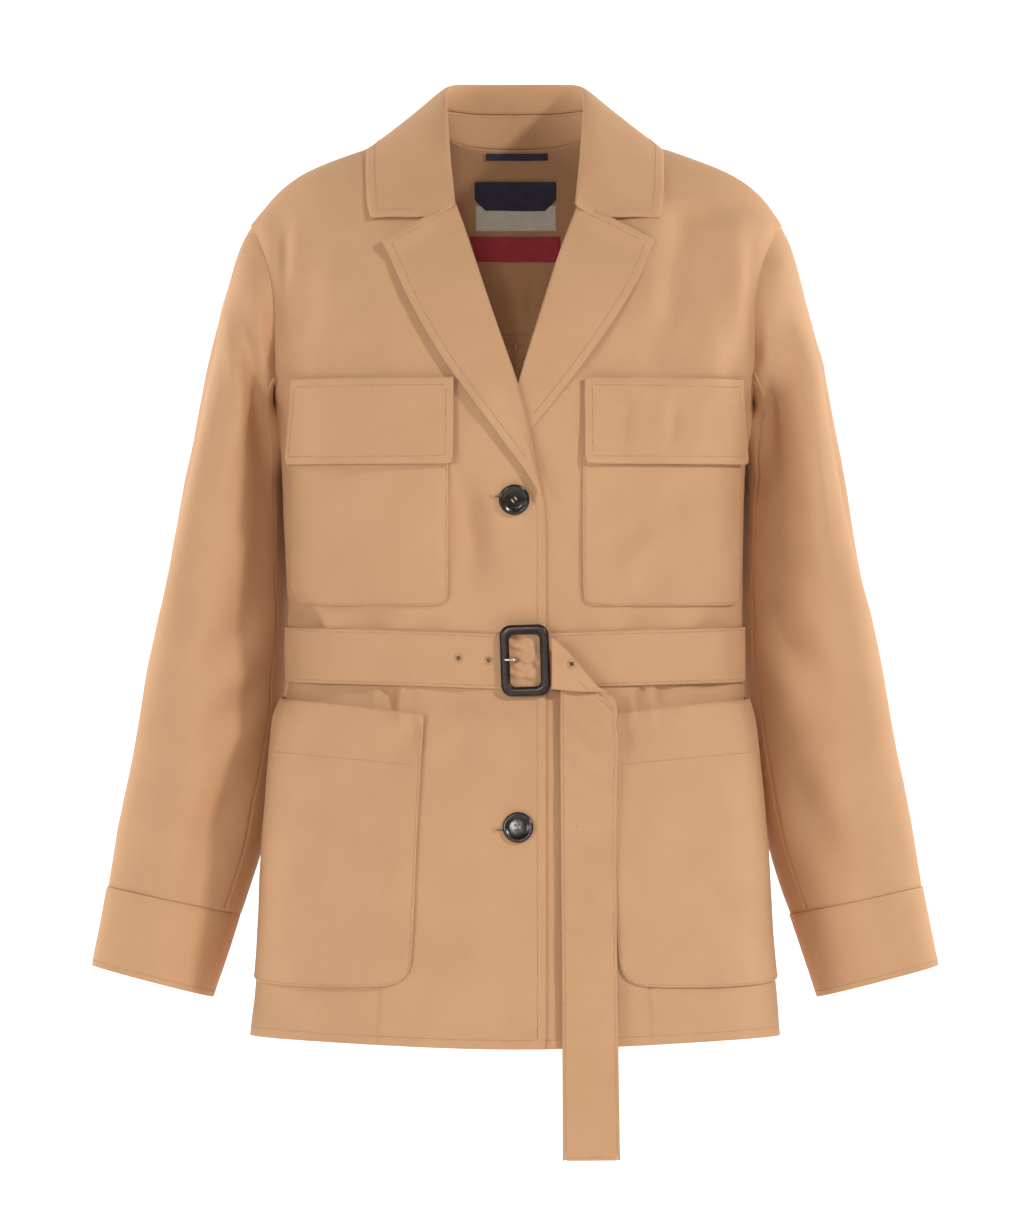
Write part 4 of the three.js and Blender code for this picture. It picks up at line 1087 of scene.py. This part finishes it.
def buffalo_horn():
    material, shader = new_material(
        "polished buffalo horn", Specular_IOR_Level=0.4, IOR=1.54, Coat_Weight=0.3, Coat_Roughness=0.12
    )
    place = add_node(material, "TexCoord").outputs["Object"]
    mapping = {"Vector": place, "Rotation": (0, 0.6, 0), "Scale": (1, 1, 6)}
    stretched = add_node(material, "Mapping", mapping)
    grain = {"Vector": stretched.outputs[0], "Scale": noise_scale(16), "Detail": 6}
    streaks = add_node(material, "TexNoise", grain)
    ramp = add_node(material, "ValToRGB", {"Fac": streaks.outputs[0]})
    ramp.color_ramp.elements[0].position = 0.4
    ramp.color_ramp.elements[0].color = linear("#120c08")
    ramp.color_ramp.elements[1].position = 0.75
    ramp.color_ramp.elements[1].color = linear("#33210f")
    gloss = add_node(material, "MapRange", {"Value": streaks.outputs[0], "To Min": 0.2, "To Max": 0.34})
    colour = ramp.outputs["Color"]
    return finish_with(material, shader, colour, gloss.outputs[0], streaks.outputs[0], 0.02, 0.3)


def plated_steel():
    material, shader = new_material("nickel-plated steel wire", Metallic=1)
    place = add_node(material, "TexCoord").outputs["Object"]
    drawn = add_node(material, "Mapping", {"Vector": place, "Scale": (0.1, 1, 1)})
    grain = {"Vector": drawn.outputs[0], "Scale": noise_scale(0.5), "Detail": 2}
    lines = add_node(material, "TexNoise", grain)
    ramp = add_node(material, "ValToRGB", {"Fac": lines.outputs[0]})
    ramp.color_ramp.elements[0].color = linear("#b9b3a4")
    ramp.color_ramp.elements[1].color = linear("#ece7da")
    gloss = add_node(material, "MapRange", {"Value": lines.outputs[0], "To Min": 0.18, "To Max": 0.32})
    colour = ramp.outputs["Color"]
    return finish_with(material, shader, colour, gloss.outputs[0], lines.outputs[0], 0.01, 0.3)


def woven_ribbon(name, colour, dark):
    """Satin ribbon: weft threads 0.6 mm apart here, 0.2 mm on the real one."""
    material, shader = new_material(name, Roughness=0.62, Specular_IOR_Level=0.3, Sheen_Weight=0.2)
    place = add_node(material, "TexCoord").outputs["Object"]
    threads = {"Vector": place, "Scale": wave_scale(0.6), "Distortion": 0.3}
    weft = add_node(material, "TexWave", threads, bands_direction="Z")
    soft = add_node(material, "TexNoise", {"Vector": place, "Scale": noise_scale(7), "Detail": 3})
    ramp = add_node(material, "ValToRGB", {"Fac": soft.outputs[0]})
    ramp.color_ramp.elements[0].position = 0.35
    ramp.color_ramp.elements[0].color = linear(dark)
    ramp.color_ramp.elements[1].position = 0.65
    ramp.color_ramp.elements[1].color = linear(colour)
    return finish_with(material, shader, ramp.outputs["Color"], None, weft.outputs["Fac"], 0.05, 0.5)


LEATHER = calf_leather()
HORN = buffalo_horn()
STEEL = plated_steel()
NAVY = woven_ribbon("woven satin ribbon, navy", "#3a3b54", "#333449")
CREAM = woven_ribbon("woven satin ribbon, cream", "#e6e3d4", "#dedbc9")
RED = woven_ribbon("woven satin ribbon, red", "#bd3f4a", "#b23843")
DARK_THREAD = spun_thread("core-spun sewing thread, brown", "#6d584c", "#4b3a31")
print("materials", len(bpy.data.materials))

# %% [markdown]
# ## The buckle
# A frame of wood or steel is padded and wrapped in leather, which gives fat, round bars and a small
# row of stitches round the outside. Two rounded rectangles are bridged to a flat ring, the ring gets
# its thickness, and wide bevels make the padding.

# %% Buckle frame
BUCKLE = {"width": 40, "height": 58, "bar": 7.6, "corner": 9, "inner_corner": 4.5, "thick": 6}
PADDING = 2.6
BUCKLE_TILT = math.radians(-2)
BUCKLE_PLACE = (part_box("buckle_frame")[0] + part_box("buckle_frame")[1]) / 2


def rounded_rectangle(bm, width, height, corner):
    """Adds one flat face with rounded corners, in millimetres, facing +Z."""
    size = Matrix.Diagonal((width, height, 1, 1))
    made = bmesh.ops.create_grid(bm, x_segments=1, y_segments=1, size=0.5, matrix=size)
    settings = {"offset": corner, "segments": 7, "profile": 0.5, "affect": "VERTICES", "material": -1}
    bmesh.ops.bevel(bm, geom=made["verts"], offset_type="OFFSET", **settings)


def buckle_ring():
    bm = bmesh.new()
    width, height, bar = BUCKLE["width"], BUCKLE["height"], BUCKLE["bar"]
    rounded_rectangle(bm, width, height, BUCKLE["corner"])
    rounded_rectangle(bm, width - 2 * bar, height - 2 * bar, BUCKLE["inner_corner"])
    bmesh.ops.delete(bm, geom=list(bm.faces), context="FACES_ONLY")
    bmesh.ops.bridge_loops(bm, edges=bm.edges)
    bmesh.ops.recalc_face_normals(bm, faces=bm.faces)
    bmesh.ops.solidify(bm, geom=list(bm.faces), thickness=BUCKLE["thick"])
    bmesh.ops.recalc_face_normals(bm, faces=bm.faces)
    long = [e for e in bm.edges if e.is_manifold and e.calc_face_angle() > math.radians(60)]
    settings = {"offset": PADDING, "segments": 5, "profile": 0.5, "affect": "EDGES", "material": -1}
    bmesh.ops.bevel(bm, geom=long, offset_type="OFFSET", clamp_overlap=True, **settings)
    bounds = [v.co.z for v in bm.verts]
    bmesh.ops.translate(bm, verts=bm.verts, vec=(0, 0, -(max(bounds) + min(bounds)) / 2))
    return bm


def upright(place):
    """Stands a shape that was made flat, in millimetres, up to face the front at a place."""
    turn = Matrix.Rotation(math.pi / 2, 4, "X") @ Matrix.Rotation(-BUCKLE_TILT, 4, "Z")
    return Matrix.Translation(place) @ turn @ Matrix.Scale(MM, 4)


buckle = buckle_ring()
bmesh.ops.transform(buckle, matrix=upright(BUCKLE_PLACE), verts=buckle.verts)
buckle_piece = sew_in(mesh_object("buckle_leather", buckle), ["buckle_frame"], LEATHER)
print("buckle", [round(v / MM, 1) for v in buckle_piece.dimensions], "mm")


def ring_line(width, height, corner, level):
    """Points round a rounded rectangle, at one level."""
    line = []
    for turn in range(4):
        sides = ((1, 1), (-1, 1), (-1, -1), (1, -1))[turn]
        for step in range(6):
            angle = math.pi / 2 * (turn + step / 5)
            x = sides[0] * (width / 2 - corner) + corner * math.cos(angle)
            y = sides[1] * (height / 2 - corner) + corner * math.sin(angle)
            line.append(Vector((x, y, level)))
    return [*line, line[0]]


LEATHER_STITCH = {"length": 1.3 * MM, "pitch": 2.3 * MM, "size": (0.5 * MM, 0.4 * MM)}
IN_FROM_EDGE = 2.4
place_of = upright(BUCKLE_PLACE)
outline = ring_line(40 - 2 * IN_FROM_EDGE, 58 - 2 * IN_FROM_EDGE, 9 - IN_FROM_EDGE, BUCKLE["thick"] / 2)
sewing = bmesh.new()
facing = (place_of.to_3x3() @ Vector((0, 0, 1))).normalized()
sew_along(sewing, [(place_of @ point, facing) for point in outline], **LEATHER_STITCH)
sew_in(mesh_object("buckle_stitches", sewing), [], DARK_THREAD)

# %% [markdown]
# ## The prong
# A short pin of plated steel comes through the belt and rests on the frame's bar. A curve with a
# round section, made a mesh, gives the pin with its rounded tip.

# %% Prong
PRONG_RADIUS = 1.1


def pin(name, points, radius):
    """A mesh of a round wire through points in metres, thin at its two ends."""
    curve = bpy.data.curves.new(name, "CURVE")
    curve.dimensions = "3D"
    curve.bevel_depth = radius * MM
    curve.bevel_resolution = 5
    curve.use_fill_caps = True
    spline = curve.splines.new("BEZIER")
    spline.bezier_points.add(len(points) - 1)
    for knot, place in zip(spline.bezier_points, points):
        knot.co = place
        knot.handle_left_type = knot.handle_right_type = "AUTO"
    spline.bezier_points[0].radius = spline.bezier_points[-1].radius = 0.35
    wire = bpy.data.objects.new(name, curve)
    scene.collection.objects.link(wire)
    mesh = bpy.data.meshes.new_from_object(wire)
    bpy.data.objects.remove(wire)
    made = bpy.data.objects.new(name, mesh)
    scene.collection.objects.link(made)
    return made


low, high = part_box("buckle_prong")
front = low.y + PRONG_RADIUS * MM
level = (low.z + high.z) / 2
left = low.x + PRONG_RADIUS * MM
prong_line = [(left - 0.0006, front, level), (left, front, level), (left + 0.005, front, level),
              (left + 0.009, front + 0.0017, level), (high.x, high.y - 0.001, level)]
sew_in(pin("buckle_pin", prong_line, PRONG_RADIUS), ["buckle_prong"], STEEL)
print("prong from", round(left / MM, 1), "to", round(high.x / MM, 1))

# %% [markdown]
# ## Buttons
# A horn button is turned on a lathe, so its profile is spun round its axis: a rounded rim, a shallow
# dish and a flat back. Four holes are drilled with a Boolean, and two threads go over each pair.

# %% Buttons
BUTTON_PROFILE = [(0, 2.0), (6.6, 2.0), (8.4, 2.3), (9.6, 3.1), (10.7, 3.5), (11.8, 3.2),
                  (12.5, 2.2), (12.3, 1.0), (11.0, 0.4), (0, 0.3)]
HOLE_APART = 1.55
HOLE_RADIUS = 0.95
BUTTON_TURN = {"button_chest": math.radians(40), "button_hip": math.radians(8)}
THREAD_OVER = 2.0


def turned_button():
    bm = bmesh.new()
    points = [bm.verts.new((radius, 0, height)) for radius, height in BUTTON_PROFILE]
    line = [bm.edges.new(pair) for pair in zip(points[:-1], points[1:])]
    turn = {"cent": (0, 0, 0), "axis": (0, 0, 1), "angle": math.tau, "steps": 72, "use_merge": True}
    bmesh.ops.spin(bm, geom=points + line, **turn)
    bmesh.ops.remove_doubles(bm, verts=bm.verts, dist=0.001)
    bmesh.ops.recalc_face_normals(bm, faces=bm.faces)
    return bm


def standing_on(place, facing, turn):
    """Turns a shape made flat in millimetres to stand on the cloth, facing out."""
    matrix = facing.to_track_quat("Z", "Y").to_matrix().to_4x4()
    return Matrix.Translation(place) @ matrix @ Matrix.Rotation(turn, 4, "Z") @ Matrix.Scale(MM, 4)


def build_button(name):
    low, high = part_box(name)
    middle = (low + high) / 2
    place, facing = seen_at(["front_right"], middle.x / MM, middle.z / MM)
    matrix = standing_on(place + facing * 0.5 * MM, facing, BUTTON_TURN[name])
    bm = turned_button()
    bmesh.ops.transform(bm, matrix=matrix, verts=bm.verts)
    button = mesh_object(name + "_horn", bm)
    drill = bmesh.new()
    strands = bmesh.new()
    for x in (-HOLE_APART, HOLE_APART):
        for y in (-HOLE_APART, HOLE_APART):
            at = matrix @ Matrix.Translation((x, y, 2))
            size = {"radius1": HOLE_RADIUS, "radius2": HOLE_RADIUS, "depth": 9}
            bmesh.ops.create_cone(drill, cap_ends=True, segments=20, matrix=at, **size)
        for side in (-0.35, 0.35):
            over = matrix @ Matrix.Translation((x + side, 0, THREAD_OVER))
            shape = over @ Matrix.Diagonal((0.36, HOLE_APART + 0.3, 0.5, 1))
            bmesh.ops.create_uvsphere(strands, u_segments=10, v_segments=8, radius=1, matrix=shape)
    cutter = mesh_object("drill", drill)
    applied(button, "BOOLEAN", operation="DIFFERENCE", object=cutter, solver="EXACT")
    bpy.data.objects.remove(cutter)
    sew_in(button, [name], HORN)
    button.data.set_sharp_from_angle(angle=math.radians(50))
    sew_in(mesh_object(name + "_thread", strands), [], CREAM_THREAD)
    return button


CREAM_THREAD = spun_thread("buttonhole twist, undyed", "#d9c9ac", "#a9946f")
for name in ("button_chest", "button_hip"):
    made = build_button(name)
    print(name, [round(v / MM, 1) for v in made.dimensions], "mm,", len(made.data.polygons), "faces")

# %% [markdown]
# ## Eyelets and buttonholes
# The belt's eyelets are punched and then worked round with thread, each stitch running out from the
# hole. A Boolean punches them through the belt. The buttonholes are worked the same way: a row of
# short stitches on each side of the slit and a ring of them round its keyhole end. A thin dark lens
# along each slit is painted shade, standing for the opening.

# %% Eyelets
EYELETS = [("belt", -46, -418), ("belt", -21.4, -420), ("belt", 0.5, -419.5), ("belt_tail", 46, -423)]
EYELET_HOLE = 1.75  # radius
EYELET_EDGE = 4.2


def worked_ring(bm, place, facing, inside, outside, count=22, arc=math.tau, start=0):
    """Stitches that run out from a hole."""
    frame_of = facing.to_track_quat("Z", "Y").to_matrix().to_4x4()
    middle, half = (inside + outside) / 2, (outside - inside) / 2
    for number in range(count):
        turn = Matrix.Rotation(start + arc * number / count, 4, "Z")
        away = Matrix.Translation(place) @ frame_of @ turn @ Matrix.Translation((middle * MM, 0, 0.15 * MM))
        shape = away @ Matrix.Diagonal((half * MM, 0.5 * MM, 0.45 * MM, 1))
        bmesh.ops.create_icosphere(bm, subdivisions=1, radius=1, matrix=shape)


def punch(name, places):
    drill = bmesh.new()
    for place, facing in places:
        at = Matrix.Translation(place) @ facing.to_track_quat("Z", "Y").to_matrix().to_4x4()
        size = {"radius1": EYELET_HOLE * MM, "radius2": EYELET_HOLE * MM, "depth": 5 * MM}
        bmesh.ops.create_cone(drill, cap_ends=True, segments=20, matrix=at, **size)
    cutter = mesh_object("punch", drill)
    applied(cloth[name], "BOOLEAN", operation="DIFFERENCE", object=cutter, solver="EXACT")
    bpy.data.objects.remove(cutter)


eyelet_rings = bmesh.new()
for name in ("belt", "belt_tail"):
    holes = [seen_at([name], x, z) for piece, x, z in EYELETS if piece == name]
    punch(name, holes)
    for place, facing in holes:
        worked_ring(eyelet_rings, place, facing, EYELET_HOLE, EYELET_EDGE)
sew_in(mesh_object("eyelet_stitches", eyelet_rings), [], THREAD)
print("belt after punching", len(cloth["belt"].data.polygons), "faces")

# %% Buttonholes
BUTTONHOLES = [(-17.5, -6, -287), (-16.5, -4, -557.5)]  # keyhole end, other end, height
KEYHOLE = (1.1, 2.7)
BITE = 1.9  # length of a stitch beside the slit

worked = bmesh.new()
slit_shade = bmesh.new()
for start, finish, level in BUTTONHOLES:
    place, facing = seen_at(["front_right"], start, level)
    worked_ring(worked, place, facing, *KEYHOLE, count=12, arc=math.radians(290), start=math.radians(35))
    for number in range(int((finish - start - 2) / 0.75)):
        x = start + 2 + number * 0.75
        for side in (-1, 1):
            place, facing = seen_at(["front_right"], x, level + side * 1.25)
            shape = Matrix.Translation(place) @ Matrix.Diagonal((0.4 * MM, 0.4 * MM, BITE / 2 * MM, 1))
            bmesh.ops.create_icosphere(worked, subdivisions=1, radius=1, matrix=shape)
    # A thin dark lens along the slit is painted shade for the opening.
    place, facing = seen_at(["front_right"], (start + finish) / 2, level)
    shape = Matrix.Translation(place) @ Matrix.Diagonal(((finish - start) / 2 * MM, 0.35 * MM, 0.4 * MM, 1))
    bmesh.ops.create_uvsphere(slit_shade, u_segments=16, v_segments=8, radius=1, matrix=shape)
sew_in(mesh_object("buttonhole_stitches", worked), [], THREAD)
sew_in(mesh_object("buttonhole_slit_shade", slit_shade), [], PAINTED_HOLE_SHADE)
print("buttonholes", len(BUTTONHOLES))

# %% [markdown]
# ## The labels in the neck
# Three woven labels and a tape lie on the inside of the back. Each is a fine grid, trimmed by planes
# to its own outline, laid on the yoke's inner side by rays from the front, and lifted by a slight,
# uneven amount, as a ribbon sewn on at its ends stands off the cloth. Solidify gives its thickness.

# %% Labels
# node: material, left, right, top, bottom, lift, trims; a trim is a point and the way out, in mm
LABELS = {
    "label_upper": (NAVY, -33.5, 34, -25, -48.5, 1.5, [((-33.5, -39.5), (-1, -1)), ((34, -39.5), (1, -1))]),
    "label_tab": (CREAM, -32.5, 34, -44.6, -65.5, 0.8, []),
    "label_lower": (RED, -37.5, 37.5, -70, -91, 1.0, [((-37.5, -70), (-1, -0.26))]),
    "neck_tape": (NAVY, -24, 27, -2.5, -8, 0.9, []),
}
RIBBON = 0.45


def build_label(name, finish, left, right, top, bottom, lift, trims):
    bm = bmesh.new()
    size = Matrix.Translation(((left + right) / 2, 0, (top + bottom) / 2)) @ Matrix.Diagonal(
        (right - left, 1, top - bottom, 1)
    )
    flat = size @ Matrix.Rotation(math.pi / 2, 4, "X")
    bmesh.ops.create_grid(bm, x_segments=36, y_segments=16, size=0.5, matrix=flat)
    for (x, z), way in trims:
        parts = list(bm.verts) + list(bm.edges) + list(bm.faces)
        normal = (way[0], 0, way[1])
        bmesh.ops.bisect_plane(bm, geom=parts, plane_co=(x, 0, z), plane_no=normal, clear_outer=True)
    for vert in bm.verts:
        x, _, z = vert.co
        start = Vector((x * MM, -0.005, z * MM))
        trees = [tree_of(piece) for piece in ("back_yoke", "collar_stand")]
        hits = [tree.ray_cast(start, Vector((0, 1, 0))) for tree in trees]
        hit, facing, _, _ = min((hit for hit in hits if hit[0]), key=lambda hit: hit[3])
        wave = noise.noise(Vector((x / 21, lift, z / 17))) * 0.5
        vert.co = hit + facing * (lift + wave) * MM
    made = mesh_object(name + "_woven", bm)
    applied(made, "SOLIDIFY", thickness=RIBBON * MM, offset=0)
    return sew_in(made, [name], finish)


for name, settings in LABELS.items():
    made = build_label(name, *settings)
    print(name, [round(v / MM, 1) for v in made.dimensions], "mm")
